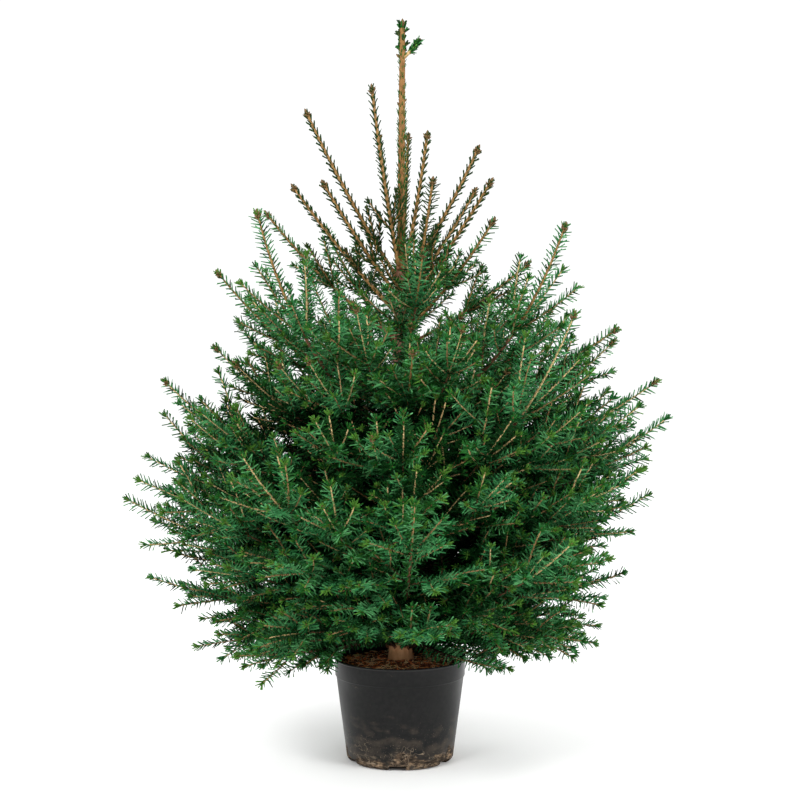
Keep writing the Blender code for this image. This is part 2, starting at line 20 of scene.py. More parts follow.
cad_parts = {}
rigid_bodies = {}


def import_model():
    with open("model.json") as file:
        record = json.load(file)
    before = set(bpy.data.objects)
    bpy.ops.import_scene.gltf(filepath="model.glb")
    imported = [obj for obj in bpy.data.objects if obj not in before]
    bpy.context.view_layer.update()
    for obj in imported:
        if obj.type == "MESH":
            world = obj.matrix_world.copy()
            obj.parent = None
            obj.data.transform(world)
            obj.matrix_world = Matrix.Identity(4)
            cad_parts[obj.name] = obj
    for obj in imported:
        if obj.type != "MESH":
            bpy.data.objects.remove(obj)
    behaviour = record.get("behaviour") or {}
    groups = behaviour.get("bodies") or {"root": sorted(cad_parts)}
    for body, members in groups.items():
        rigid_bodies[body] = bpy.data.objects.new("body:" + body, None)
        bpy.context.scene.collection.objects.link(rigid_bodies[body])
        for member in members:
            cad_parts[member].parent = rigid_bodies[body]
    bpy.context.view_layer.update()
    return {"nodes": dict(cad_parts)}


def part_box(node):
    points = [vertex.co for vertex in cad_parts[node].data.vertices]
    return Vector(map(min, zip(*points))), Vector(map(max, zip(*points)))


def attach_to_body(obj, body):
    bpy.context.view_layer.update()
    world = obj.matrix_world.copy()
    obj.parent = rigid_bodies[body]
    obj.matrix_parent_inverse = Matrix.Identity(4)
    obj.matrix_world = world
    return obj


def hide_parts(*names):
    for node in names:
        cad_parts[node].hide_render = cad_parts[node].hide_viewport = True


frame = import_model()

SEED = 41
UP = np.array((0.0, 0.0, 1.0))
PIECE_LIMIT = 190_000    # triangles in one joined piece
GOLDEN_ANGLE = 137.508   # turn from one bud to the next round its shoot

# Camera, in the photograph's own frame of 800 by 800
CAMERA_PLACE = (0.0, -3.4, 0.90)
CAMERA_AIM = (0.0, 0.0, 0.713)
CAMERA_LENS = 77.78

# Light of the white surroundings: what falls on the plant, and what shows behind it
AMBIENT = 0.85
BACKDROP = 1.08

# White floor; over this range of distances its glow rises, so that it meets the backdrop
STAGE_SIZE = 16.0
STAGE_WHITE = (0.93, 0.93, 0.93, 1.0)
STAGE_GLOW = 0.32
GLOW_RANGE = (1.8, 4.5)

# Lights: name, place, height of the aim on the tree's axis, size and power
LIGHTS = (
    ("key", (-1.9, -2.6, 2.9), 0.6, 1.6, 112),
    ("fill", (2.6, -2.0, 1.9), 0.5, 1.6, 68),
    ("rear", (0.4, 2.6, 2.4), 0.7, 1.8, 40),
)

# Pot
RIM_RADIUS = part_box("pot")[1][0]
POT_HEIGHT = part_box("pot")[1][2]
LIP_HEIGHT = 0.004
LIP_RADIUS = 0.0016
COLLAR_BOTTOM = 0.168
COLLAR_RADIUS = 0.1287
COLLAR_STEP = 0.002
FOOT_RADIUS = 0.0945
CORNER_RADIUS = 0.1062
CORNER_HEIGHT = 0.010
WALL = 0.0024
MOUTH_RADIUS = 0.1268
FLOOR = 0.0032
LEDGE_RADIUS = 0.079     # a ledge inside carries the floor over the notches
LEDGE_HEIGHT = 0.0130
POT_SIDES = 144
NOTCHES = 6
NOTCH_BEARING = -3.0
NOTCH_WIDTH = 0.034
NOTCH_HEIGHT = 0.0098
NOTCH_DEPTH = 0.025
NOTCH_ROUND = 0.0022

# Compost: radius and height pairs of its surface, from the middle to the wall
COMPOST_SURFACE = ((0.0, 0.1990), (0.030, 0.1985), (0.075, 0.1955), (0.124, 0.1905))
COMPOST_BOTTOM = 0.170
COMPOST_GAP = 0.0008     # to the pot's wall
COMPOST_RINGS = 44
COMPOST_SIDES = 120

# Litter on the compost: how many chips and fibres, how far out they lie and their gap to
# the trunk
CHIPS = 1150
CHIP_REACH = 0.121
CHIP_GAP = 0.004
FIBRES = 110
FIBRE_REACH = 0.112
FIBRE_GAP = 0.008
FIBRE_STEP = 0.0045      # length of one piece of a curled fibre
LITTER_SHARES = {"litter_dark": 0.48, "litter_red": 0.38, "litter_tan": 0.14}

# Trunk and leader: height and radius pairs
TRUNK_FOOT = 0.200
TREE_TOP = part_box("trunk")[1][2]
TRUNK_LEAN = 0.005
FLARE = 0.09
FLARE_HEIGHT = 0.035
LEADER_FOOT = 0.972
LEADER_END = 1.438
END_BUD_FOOT = 1.436     # the end bud rises from here nearly to the top of the trunk's box
END_BUD_WIDTH = 0.0105
TRUNK_TAPER = (
    (0.200, 0.0262), (0.212, 0.0240), (0.235, 0.0222), (0.330, 0.0205), (0.450, 0.0190),
    (0.560, 0.0178), (0.690, 0.0162), (0.830, 0.0142), (0.900, 0.0126), (0.955, 0.0112),
    (0.985, 0.0074), (1.100, 0.0064), (1.250, 0.0056), (1.400, 0.0048), (1.438, 0.0046),
)

# Side buds of the leader: height, bearing, size and number of green scales round each
LEADER_BUDS = (
    (1.424, -92, 0.0120, 7), (1.397, -96, 0.0120, 9), (1.381, -86, 0.0110, 0),
    (1.404, 92, 0.0110, 5), (1.430, 70, 0.0070, 3), (1.415, 20, 0.0090, 4),
    (1.392, 160, 0.0110, 6), (1.410, -160, 0.0100, 5), (1.290, -80, 0.0075, 0),
    (1.296, 84, 0.0075, 0), (1.223, 82, 0.0065, 0), (1.250, 170, 0.0070, 0),
    (1.190, -70, 0.0060, 0),
)

# Scales round the end bud, then the needles pressed against the leader: the range of
# their heights, their number, their leans in degrees, their lengths and their colour
TIP_SCALES = (
    ((1.440, 1.447), 8, (24, 42), (0.009, 0.012), "top"),
    ((1.436, 1.446), 8, (28, 50), (0.009, 0.012), "shade"),
    ((1.436, 1.446), 6, (28, 50), (0.009, 0.012), "mid"),
)
LEADER_HAIRS = (
    ((1.275, 1.430), 120, (16, 34), (0.009, 0.012), "mid"),
    ((1.120, 1.275), 260, (16, 36), (0.010, 0.013), "mid"),
    ((0.985, 1.120), 300, (18, 40), (0.010, 0.015), "mid"),
    ((0.880, 0.985), 60, (20, 50), (0.010, 0.015), "mid"),
)
SCALE_WIDTH = 0.0065
HAIR_WIDTH = 0.0022

# Short side shoot high on the leader
SPUR_HEIGHT = 1.381
SPUR_BEARING = 88
SPUR_RISE = 48.0
SPUR_LENGTH = 0.044
SPUR_BARE = 0.014        # no needles nearer to its foot than this
SPUR_NEEDLES = 95

# Buds: shares of the length, and of the width there
BUD_SHAPE = ((0.0, 0.62), (0.22, 0.95), (0.48, 1.0), (0.76, 0.66), (1.0, 0.10))
SMALL_BUD = ((0.0, 0.75), (0.42, 1.0), (1.0, 0.15))

# Boughs, whorl by whorl from the top: bend in degrees, spread of the side shoots, then
# for each bough its height on the trunk, bearing, reach from the trunk's axis, height of
# its tip, length of its last year's shoot and share that is bare limb
WHORLS = (
    (4.0, 0.42, (
        (0.958, -80, 0.183, 1.270, 0.290, 0), (0.972, -27, 0.117, 1.308, 0.270, 0),
        (0.974, -150, 0.084, 1.236, 0.210, 0), (0.968, 40, 0.081, 1.225, 0.210, 0),
        (0.950, 85, 0.152, 1.203, 0.220, 0), (0.900, 74, 0.182, 1.137, 0.200, 0),
        (0.924, -68, 0.158, 1.132, 0.190, 0), (0.888, -97, 0.211, 1.131, 0.210, 0),
        (0.962, 172, 0.120, 1.240, 0.240, 0), (0.915, 125, 0.185, 1.130, 0.200, 0),
    )),
    (8.0, 0.80, (
        (0.835, -88, 0.260, 1.077, 0.190, 0), (0.800, 13, 0.262, 1.124, 0.270, 0),
        (0.850, 52, 0.222, 1.057, 0.170, 0), (0.822, 103, 0.262, 0.982, 0.160, 0),
        (0.842, 162, 0.248, 1.045, 0.180, 0), (0.828, -142, 0.252, 1.058, 0.180, 0),
    )),
    (13.0, 1.00, (
        (0.690, -96, 0.362, 0.962, 0.190, 0), (0.640, -42, 0.382, 1.063, 0.250, 0.30),
        (0.655, 48, 0.400, 1.041, 0.230, 0.30), (0.676, 88, 0.422, 0.851, 0.180, 0),
        (0.684, 140, 0.375, 0.940, 0.180, 0), (0.668, -150, 0.380, 0.955, 0.180, 0),
        (0.646, 4, 0.330, 0.815, 0.150, 0),
    )),
    (13.0, 1.00, (
        (0.552, -80, 0.458, 0.752, 0.180, 0.26), (0.520, -7, 0.400, 0.668, 0.130, 0),
        (0.500, 40, 0.475, 0.882, 0.240, 0.30), (0.545, 80, 0.498, 0.752, 0.190, 0),
        (0.535, 141, 0.455, 0.770, 0.180, 0), (0.528, -144, 0.455, 0.760, 0.180, 0),
    )),
    (12.0, 1.00, (
        (0.425, -103, 0.490, 0.676, 0.170, 0.26), (0.398, -33, 0.500, 0.638, 0.180, 0.30),
        (0.408, 4, 0.420, 0.615, 0.130, 0), (0.430, 85, 0.520, 0.679, 0.180, 0),
        (0.416, 128, 0.480, 0.650, 0.170, 0), (0.422, 178, 0.480, 0.640, 0.170, 0),
    )),
    (9.0, 1.00, (
        (0.335, -86, 0.534, 0.520, 0.170, 0), (0.322, -17, 0.455, 0.552, 0.100, 0),
        (0.302, 40, 0.470, 0.476, 0.145, 0.30), (0.338, 95, 0.498, 0.520, 0.170, 0),
        (0.326, 150, 0.480, 0.500, 0.160, 0), (0.330, -140, 0.480, 0.510, 0.160, 0),
    )),
    (6.0, 0.90, (
        (0.266, -90, 0.492, 0.360, 0.160, 0), (0.246, -56, 0.365, 0.246, 0.130, 0),
        (0.270, 3, 0.478, 0.560, 0.150, 0.30), (0.240, 43, 0.275, 0.222, 0.110, 0),
        (0.262, 88, 0.440, 0.372, 0.150, 0), (0.250, 138, 0.420, 0.330, 0.150, 0),
        (0.256, -162, 0.430, 0.340, 0.150, 0),
    )),
)
STRONG_BEND = 9.0        # further bend of a bough that has a bare limb


@dataclass
class Rule:
    """How a shoot branches: where its side shoots stand, how long and how steep they are."""
    year_step: float     # between older year nodes
    inner_limit: float   # no side shoot starts nearer to the root than this
    angle: float
    base: float          # length of a side shoot at the tip, and its growth with the
    growth: float        # distance from the tip
    longest: float
    shortest: float
    lift: float          # rise where it leaves, and the swing between the two hands
    swing: float
    jitter: float


BOUGH_RULE = Rule(0.105, 0.065, 43.0, 0.055, 0.44, 0.235, 0.055, 0.10, 0.26, 0.006)
TWIG_RULE = Rule(0.080, 0.022, 42.0, 0.062, 0.52, 0.145, 0.052, 0.05, 0.10, 0.004)
REACH_SPREAD = (0.88, 1.06)
ANGLE_SPREAD = 8.0
LIFT_SPREAD = 0.12
LIMB_MARGIN = 0.022
SIDE_TURN = 0.45
SIDE_RISES = (0.16, 0.16, 0.16, 0.14, 0.08, -0.02, -0.22)    # by whorl: the low ones droop
UPRIGHT_YEARS = 1
FORK_SHORTEST = 0.080    # a twig shorter than this doesn't branch
LAST_SHARE = (0.54, 0.66)    # share of an older twig that is its last year's shoot
FAN_ANGLE = 23.0         # a narrower pair of shoots at the strongest forks
FAN_SHARE = (0.80, 1.05)
BOUGH_TIPS = (0.0027, 0.0022, 0.0016, 0.0012)    # radii of the boughs' tips, by whorl
BOUGH_FOOT = 0.0056
TOP_BOUGH_FOOT = 0.0042
TWIG_FOOT = 0.0014       # radius of a twig's foot, and its growth with the length
TWIG_GROWTH = 0.0046
TWIG_TIP = 0.0013
FINE_TWIG_TIP = 0.0011
TWIG_SHARE = 0.8         # longest side shoot as a share of the twig that carries it
UPRIGHT_LOSS = 0.6       # share of the upper shoots of twigs that stay away
GREEN_LENGTH = 0.36      # below the first whorl boughs have needles this far from their tips
BETWEEN_STEP = 0.070     # between the short shoots that stand between year nodes
BETWEEN_BASE = 0.046     # length of such a shoot at the tip, and its growth with the
BETWEEN_GROWTH = 0.30    # distance from the tip
BETWEEN_LONGEST = 0.105
BETWEEN_FINE = 0.75      # the same on twigs as a share of those on boughs
BETWEEN_ANGLES = (42, 60)
BETWEEN_LIFTS = (-0.10, 0.32)
CLEAN_TIP = 0.100        # nearer to the tip of a low bough than this there is none

# In front of the compost no twig hangs lower than a line that rises with the distance
WINDOW_HALF = 0.118
WINDOW_NEAR = 0.03       # nearest to the trunk
WINDOW_HEIGHT = 0.236
WINDOW_RISE = 0.19

# Boughs between the whorls: how many, and their share of the crown's reach
BETWEEN_BOUGHS = (0, 2, 8, 13, 16, 16)
BETWEEN_BENDS = (4.0, 8.0, 13.0, 9.0, 3.0, -6.0)
BETWEEN_SHARE = (0.78, 0.98)
SLIM = 0.08              # share by which the crown reaches less far in front and behind
FILLING_LOOK = (0.85, 0.6)    # spread of the side shoots, and thickness as a share

# Single boughs where the whorls leave a wide gap: whorl, then the bough as above
LONE_LOOK = (0.9, 0.7)   # spread and thickness
LONE_BOUGHS = (
    (6, (0.365, 55, 0.455, 0.560, 0.150, 0)), (5, (0.470, 28, 0.420, 0.700, 0.150, 0)),
    (6, (0.350, -58, 0.470, 0.545, 0.150, 0)), (4, (0.590, 20, 0.330, 0.840, 0.150, 0)),
    (3, (0.700, -20, 0.250, 0.900, 0.150, 0)), (3, (0.690, 28, 0.240, 0.880, 0.150, 0)),
    (4, (0.600, -28, 0.350, 0.800, 0.160, 0)), (4, (0.585, -58, 0.360, 0.790, 0.160, 0)),
    (5, (0.470, 68, 0.480, 0.710, 0.170, 0)), (6, (0.370, 68, 0.480, 0.590, 0.170, 0)),
    (7, (0.285, 66, 0.420, 0.430, 0.150, 0)), (5, (0.460, -62, 0.440, 0.690, 0.160, 0)),
    (4, (0.610, 8, 0.280, 0.780, 0.140, 0)), (4, (0.625, -12, 0.250, 0.810, 0.140, 0)),
    (4, (0.600, -44, 0.320, 0.790, 0.150, 0)), (4, (0.600, 38, 0.320, 0.780, 0.150, 0)),
    (3, (0.700, 6, 0.200, 0.860, 0.140, 0)), (5, (0.520, 14, 0.340, 0.730, 0.140, 0)),
)

# Drooping boughs below the last whorl: how many, and the ranges of their height on the
# trunk, reach and height of the tip
LOW_BOUGHS = 34
LOW_ATTACH = (0.222, 0.244)
LOW_SHARE = (0.70, 1.00)
LOW_TIP = (0.226, 0.320)
SKIRT_BOUGHS = 22        # short ones that hang down behind and beside the pot's rim
SKIRT_SIDE = 58.0        # the nearest bearing to the front that they take
SKIRT_REACH = (0.175, 0.270)
SKIRT_TIP = (0.188, 0.222)
SKIRT_BEND = -14.0
FRONT_COSINE = 0.80      # in front they are lifted, which leaves the compost in view
FRONT_RISE = 0.075
LOW_BEND = -9.0
LOW_LOOK = (0.85, 0.6)   # spread and thickness
SKIRT_LOOK = (0.60, 0.5)

# Needles: their number per metre of shoot, sizes in metres and angles in degrees
NEEDLE_DENSITY = 570
DEEP_DENSITY = 230
TOP_DENSITY = 560
NEEDLE_WIDTH = 0.0039
DEEP_WIDTH = 0.0056
TOP_WIDTH = 0.0042
NEEDLE_TIP = 0.60        # width of a needle's tip as a share of its foot
NEEDLE_LENGTHS = (0.0138, 0.0165, 0.0190, 0.0202, 0.0208, 0.0208, 0.0200)
NEEDLE_ROWS = (-36.0, 4.0, 26.0, -14.0, 42.0, 15.0, -24.0, 34.0)    # rises, row by row
NEEDLE_ROLL = 14.0       # by which the comb of a shoot may be turned round it
ROUND_ROWS = (-60.0, -20.0, 20.0, 60.0)    # the same on the upright shoots at the top
LEAN_SIDE = 68.0         # a needle leans from the shoot by this at its side
LEAN_TOP = 42.0          # and by this on its top
ROUND_LEANS = (40.0, 30.0)
FRESH_LENGTH = 0.013
FRESH_CHANCE = 0.50
SHADE_SHARE = 0.16       # of the needles in a spray are darker, as painted shade, and lighter, as a painted highlight, dealt at random
LIGHT_SHARE = 0.36
NEEDLE_RISE = 0.08       # by which every needle turns up
ROOT_DEPTH = 0.6         # share of the wood's radius at which needles start
TINY_BUD = (0.0038, 0.0026)    # length and width
SIDE_BUD_SIZE = 0.0065
STRONG_BUD_SIZE = 0.0105
STRONG_BUDS = 8          # side buds round a strong end bud

# Wood, by order of the shoot: sides of its tube, and the step between two rings
WOOD_SIDES = {1: 8, 2: 6, 3: 4, 4: 4}
WOOD_STEPS = {1: 0.022, 2: 0.032, 3: 0.040, 4: 0.040}
FOOT_SWELL = ((-0.002, 1.5), (0.003, 1.35), (0.006, 0.9))    # distance and share of the radius

# Depth in the crown, from 0 at the trunk to 1 at its outline, where sprays turn darker as painted
# shade
DEEP_DEPTH = 0.47
SHADE_DEPTH = 0.62
OPEN_TOP = 0.71          # above this height the crown is open and has no painted shade inside
OPEN_FOOT = 0.250        # below this one it hangs free, and its sprays are not darkened as painted shade
FOOT_DEPTH = 0.78
DEEP_TUFT = 0.50         # nearer to the trunk than this the tips of shoots are dark too, as painted shade

# Tones. Needles: colour and specular level. Deep and shade are darker copies of the green that
# stand for painted shade, and light is a lighter copy that stands for a painted highlight
NEEDLE_TONES = {
    "deep": ((0.0012, 0.0090, 0.0018), 0.02),
    "shade": ((0.0042, 0.0330, 0.0062), 0.05),
    "mid": ((0.0145, 0.0980, 0.0150), 0.08),
    "blue": ((0.0220, 0.1420, 0.0420), 0.10),
    "light": ((0.0620, 0.2300, 0.0780), 0.15),
    "fresh": ((0.0600, 0.1650, 0.0220), 0.08),
    "top": ((0.0180, 0.0480, 0.0120), 0.06),
}
# The rest: material, dark and light tone, scale of the grain, roughness, relief, specular
# level and stretch of the grain
TONES = {
    "limbs": ("limb_bark", (0.085, 0.036, 0.018), (0.220, 0.108, 0.056), 260.0, 0.85, 0.4, 0.2),
    # Painted shade: near-black bark for the limbs and twigs inside the crown
    "limbs_painted_shade": ("limb_bark_painted_shade", (0.014, 0.008, 0.005), (0.050, 0.028, 0.017),
                   260.0, 0.85, 0.4, 0.1),
    "twig_young": ("twig_young", (0.380, 0.230, 0.085), (0.680, 0.500, 0.250),
                   200.0, 0.6, 0.3, 0.3),
    "twig_brown": ("twig_brown", (0.200, 0.105, 0.040), (0.420, 0.260, 0.115),
                   200.0, 0.7, 0.3, 0.2),
    "twig_top": ("twig_top", (0.170, 0.086, 0.026), (0.335, 0.190, 0.066), 200.0, 0.6, 0.3, 0.2),
    "scales": ("bud_scales", (0.120, 0.048, 0.022), (0.260, 0.115, 0.050), 300.0, 0.6, 0.3, 0.2),
    "buds": ("bud_brown", (0.058, 0.038, 0.012), (0.190, 0.108, 0.036), 500.0, 0.6, 0.5, 0.3),
    "leader": ("leader_bark", (0.150, 0.070, 0.020), (0.295, 0.152, 0.050), 240.0, 0.7, 0.4, 0.2,
               (1.0, 1.0, 0.35)),
    "compost": ("compost", (0.085, 0.019, 0.007), (0.500, 0.150, 0.050), 230.0, 0.95, 0.6),
    "litter_dark": ("litter_dark", (0.070, 0.020, 0.009), (0.360, 0.110, 0.042), 300.0, 0.9, 0.4),
    "litter_red": ("litter_red", (0.560, 0.150, 0.045), (0.950, 0.360, 0.130), 300.0, 0.85, 0.4),
    "litter_tan": ("litter_tan", (0.920, 0.480, 0.200), (1.000, 0.800, 0.500), 300.0, 0.8, 0.3),
}
WOODS = ("limbs", "limbs_painted_shade", "twig_young", "twig_brown", "twig_top", "scales", "buds")
RELIEF = 0.001           # full height of the materials' relief


def unit(vector):
    return vector / np.linalg.norm(vector)


def units(vectors):
    return vectors / np.linalg.norm(vectors, axis=1)[:, None]


def outward(bearing):
    """Level unit vector at a bearing round the trunk."""
    angle = math.radians(bearing)
    return np.array((math.sin(angle), -math.cos(angle), 0.0))


def trunk_radius(height):
    heights, radii = zip(*TRUNK_TAPER)
    return float(np.interp(height, heights, radii))


def trunk_centre(height):
    share = (height - TRUNK_FOOT) / (TREE_TOP - TRUNK_FOOT)
    return np.array((TRUNK_LEAN * share ** 2, 0.0, height))


# Paths

def bent_line(start, rise, bend, end, count):
    """Quadratic curve whose slope grows by twice the bend from start to end."""
    chord = np.linalg.norm(end - start)
    level = end - start
    level[2] = 0.0
    slope = rise - bend
    lead = math.cos(slope) * unit(level) + math.sin(slope) * UP
    control = start + lead * chord * 0.5 / math.cos(bend)
    t = np.linspace(0.0, 1.0, count)[:, None]
    return (1 - t) ** 2 * start + 2 * t * (1 - t) * control + t ** 2 * end


def arc_lengths(path):
    steps = np.linalg.norm(np.diff(path, axis=0), axis=1)
    return np.concatenate(((0.0,), np.cumsum(steps)))


def points_at(path, distances):
    """Points and directions of a path at some distances from its start."""
    lengths = arc_lengths(path)
    places = np.stack([np.interp(distances, lengths, path[:, axis]) for axis in range(3)], axis=1)
    index = np.clip(np.searchsorted(lengths, distances) - 1, 0, len(path) - 2)
    return places, units(np.diff(path, axis=0)[index])


def point_at(path, distance):
    places, directions = points_at(path, np.array((distance,)))
    return places[0], directions[0]


def side_of(direction):
    """Level vector across a direction."""
    return unit(np.cross(UP, direction))


def bough_axis(attach, bearing, reach, tip, bend):
    out = outward(bearing)
    start = trunk_centre(attach) + out * trunk_radius(attach)
    end = out * reach + UP * tip
    rise = math.atan2(tip - attach, reach - trunk_radius(attach))
    return bent_line(start, rise, math.radians(bend), end, 33)


def hides_compost(path):
    """True where a twig would hang in front of the compost."""
    ahead = -path[:, 1]
    low = path[:, 2] < WINDOW_HEIGHT + WINDOW_RISE * ahead
    return bool(((np.abs(path[:, 0]) < WINDOW_HALF) & (ahead > WINDOW_NEAR) & low).any())


# Growth

@dataclass
class Shoot:
    """One shoot: its axis, its order (1 is a bough) and what it wears."""
    path: np.ndarray
    order: int
    whorl: int
    foot: float          # radii of its wood
    tip: float
    green_from: float    # where its needles start
    young_from: float    # where its young, light wood starts
    vigour: int          # 3 on boughs with a bare limb, 2 on others, 1 on side shoots, else 0
    seed: int

    @property
    def length(self):
        return arc_lengths(self.path)[-1]


def envelope():
    """Heights and reaches of the crown's outline, from the tips of the whorls."""
    pairs = [(0.20, 0.40)]
    for _, _, rows in reversed(WHORLS):
        sides = [row for row in rows if abs(abs(row[1]) - 90) < 20]
        tips = [row[3] for row in sides]
        pairs.append((sum(tips) / len(tips), max(row[2] for row in sides)))
    pairs.append((1.33, 0.10))
    return tuple(zip(*sorted(pairs)))


ENVELOPE = envelope()


def crown_reach(height):
    return float(np.interp(height, *ENVELOPE))


def depth_of(place):
    """How far out a point lies in the crown: 0 at the trunk and 1 at the outline."""
    if place[2] > OPEN_TOP:
        return 1.0
    depth = math.hypot(place[0], place[1]) / crown_reach(place[2])
    return max(depth, FOOT_DEPTH) if place[2] < OPEN_FOOT else depth


@dataclass
class Side:
    """A side shoot: where and how it leaves its axis."""
    place: np.ndarray
    direction: np.ndarray
    reach: float
    angle: float
    hand: int            # -1 and 1 to the sides, 0 on top
    lift: float
    year: int = 0        # age of the node that carries it

    def path(self, whorl):
        """It leaves at its angle and bends towards the direction of its axis."""
        level = side_of(self.direction)
        across = level * self.hand if self.hand else np.cross(self.direction, level)
        leave = unit(math.cos(self.angle) * self.direction + math.sin(self.angle) * across
                     + self.lift * UP)
        later = unit(leave + SIDE_TURN * self.direction + SIDE_RISES[whorl - 1] * UP)
        t = np.linspace(0.0, 1.0, 9)[:, None]
        return self.place + self.reach * (t * leave + 0.5 * t ** 2 * (later - leave))


def side_shoots(axis, last, limb, spread, rule, chance):
    """Side shoots of an axis from its tip inwards: a pair at each year node, one on top."""
    length = arc_lengths(axis)[-1]
    inner = max(rule.inner_limit, limb * length + LIMB_MARGIN if limb else 0.0)
    sides = []
    year = 0
    back = last
    while back < length - inner:
        for hand in (-1, 1, 0) if year < UPRIGHT_YEARS else (-1, 1):
            distance = length - back + chance.uniform(-rule.jitter, rule.jitter)
            reach = min(rule.longest, rule.base + rule.growth * back) * spread
            reach = max(rule.shortest, reach * chance.uniform(*REACH_SPREAD))
            angle = math.radians(rule.angle + chance.uniform(-ANGLE_SPREAD, ANGLE_SPREAD))
            lift = rule.lift + rule.swing * hand * (-1) ** year
            lift += chance.uniform(-LIFT_SPREAD, LIFT_SPREAD)
            sides.append(Side(*point_at(axis, distance), reach, angle, hand, lift, year))
        year += 1
        back += rule.year_step
    return sides


def grow_between(shoots, axis, start, end, order, whorl, chance):
    """Add short shoots between the year nodes of an axis, on alternate sides."""
    length = arc_lengths(axis)[-1]
    distance = start + chance.uniform(0.3, 1.0) * BETWEEN_STEP
    hand = chance.choice((-1, 1))
    sides = []
    while distance < end:
        reach = min(BETWEEN_LONGEST, BETWEEN_BASE + BETWEEN_GROWTH * (length - distance))
        reach *= chance.uniform(0.7, 1.1) * (1.0 if order == 1 else BETWEEN_FINE)
        angle = math.radians(chance.uniform(*BETWEEN_ANGLES))
        lift = chance.uniform(*BETWEEN_LIFTS)
        sides.append(Side(*point_at(axis, distance), reach, angle, hand, lift))
        hand = -hand
        distance += BETWEEN_STEP * chance.uniform(0.7, 1.3)
    for side in sides:
        grow_twig(shoots, side.path(whorl), order + 2, whorl, chance)


def grow_twig(shoots, path, order, whorl, chance, year=0):
    """Add a side shoot, then the finer ones on it; in its first year it has none."""
    if hides_compost(path):
        return
    length = arc_lengths(path)[-1]
    last = length
    if year > 0 and length > FORK_SHORTEST:
        last = length * chance.uniform(*LAST_SHARE)
    shoots.append(Shoot(
        path, order, whorl, TWIG_FOOT + TWIG_GROWTH * length,
        TWIG_TIP if order == 2 else FINE_TWIG_TIP, min(0.006, 0.1 * length), length - last,
        1 if order == 2 else 0, chance.randrange(1 << 30)))
    if last == length or order == 4:
        return
    for side in side_shoots(path, last, 0.0, 1.0, TWIG_RULE, chance):
        if side.hand == 0 and chance.random() < UPRIGHT_LOSS:
            continue
        side.reach = min(side.reach, TWIG_SHARE * length)
        if side.reach >= TWIG_RULE.shortest:
            grow_twig(shoots, side.path(whorl), order + 1, whorl, chance, side.year)
    if order == 2:
        grow_between(shoots, path, 0.030, length - last - 0.012, order, whorl, chance)


def grow_bough(shoots, row, bend, look, whorl, chance):
    """Add a bough and everything that it carries; its look is its spread and thickness."""
    spread, thin = look
    attach, bearing, reach, tip, last, limb = row
    axis = bough_axis(attach, bearing, reach, tip, bend + (STRONG_BEND if limb else 0.0))
    length = arc_lengths(axis)[-1]
    sides = side_shoots(axis, last, limb, spread, BOUGH_RULE, chance)
    tip_radius = BOUGH_TIPS[min(whorl, len(BOUGH_TIPS)) - 1] * (0.5 + 0.5 * thin)
    shoots.append(Shoot(
        axis, 1, whorl, (TOP_BOUGH_FOOT if whorl == 1 else BOUGH_FOOT) * thin, tip_radius,
        max(0.03, length - (GREEN_LENGTH if whorl > 1 else 1.0)),
        length - last - (0.0 if whorl > 2 else 0.1), 3 if limb else 2,
        chance.randrange(1 << 30)))
    for side in sides:
        grow_twig(shoots, side.path(whorl), 2, whorl, chance, side.year)
        if side.year == 0 and side.hand and whorl > 1:
            side.angle = math.radians(FAN_ANGLE + chance.uniform(-4, 4))
            side.reach *= chance.uniform(*FAN_SHARE)
            side.lift = -side.lift
            grow_twig(shoots, side.path(whorl), 3, whorl, chance)
    if whorl > 1:
        end = length - (CLEAN_TIP if whorl > 4 else last + 0.01)
        if whorl == 2:
            end = 0.5 * length
        grow_between(shoots, axis, max(0.07, (limb + 0.05) * length), end, 1, whorl, chance)


def slimmed(reach, bearing):
    """Reach of a bough, less in front and behind than at the sides."""
    return reach * (1.0 - SLIM * abs(math.cos(math.radians(bearing))))


def grow_filling(shoots, whorl, number, count):
    """Add one of the boughs between a whorl and the next one."""
    chance = random.Random(SEED * 2000 + whorl * 100 + number)
    mix = chance.uniform(0.35, 0.65)
    attach, tip = (mix * np.mean([row[column] for row in WHORLS[whorl - 1][2]])
                   + (1 - mix) * np.mean([row[column] for row in WHORLS[whorl][2]])
                   for column in (0, 3))
    tip += chance.uniform(-0.02, 0.02)
    reach = crown_reach(tip) * chance.uniform(*BETWEEN_SHARE)
    bearing = 360.0 * (number + 0.5 * (whorl % 2)) / count + chance.uniform(-12, 12)
    row = (attach, bearing, slimmed(reach, bearing), tip, chance.uniform(0.11, 0.15), 0)
    grow_bough(shoots, row, BETWEEN_BENDS[whorl - 1], FILLING_LOOK, whorl + 1, chance)


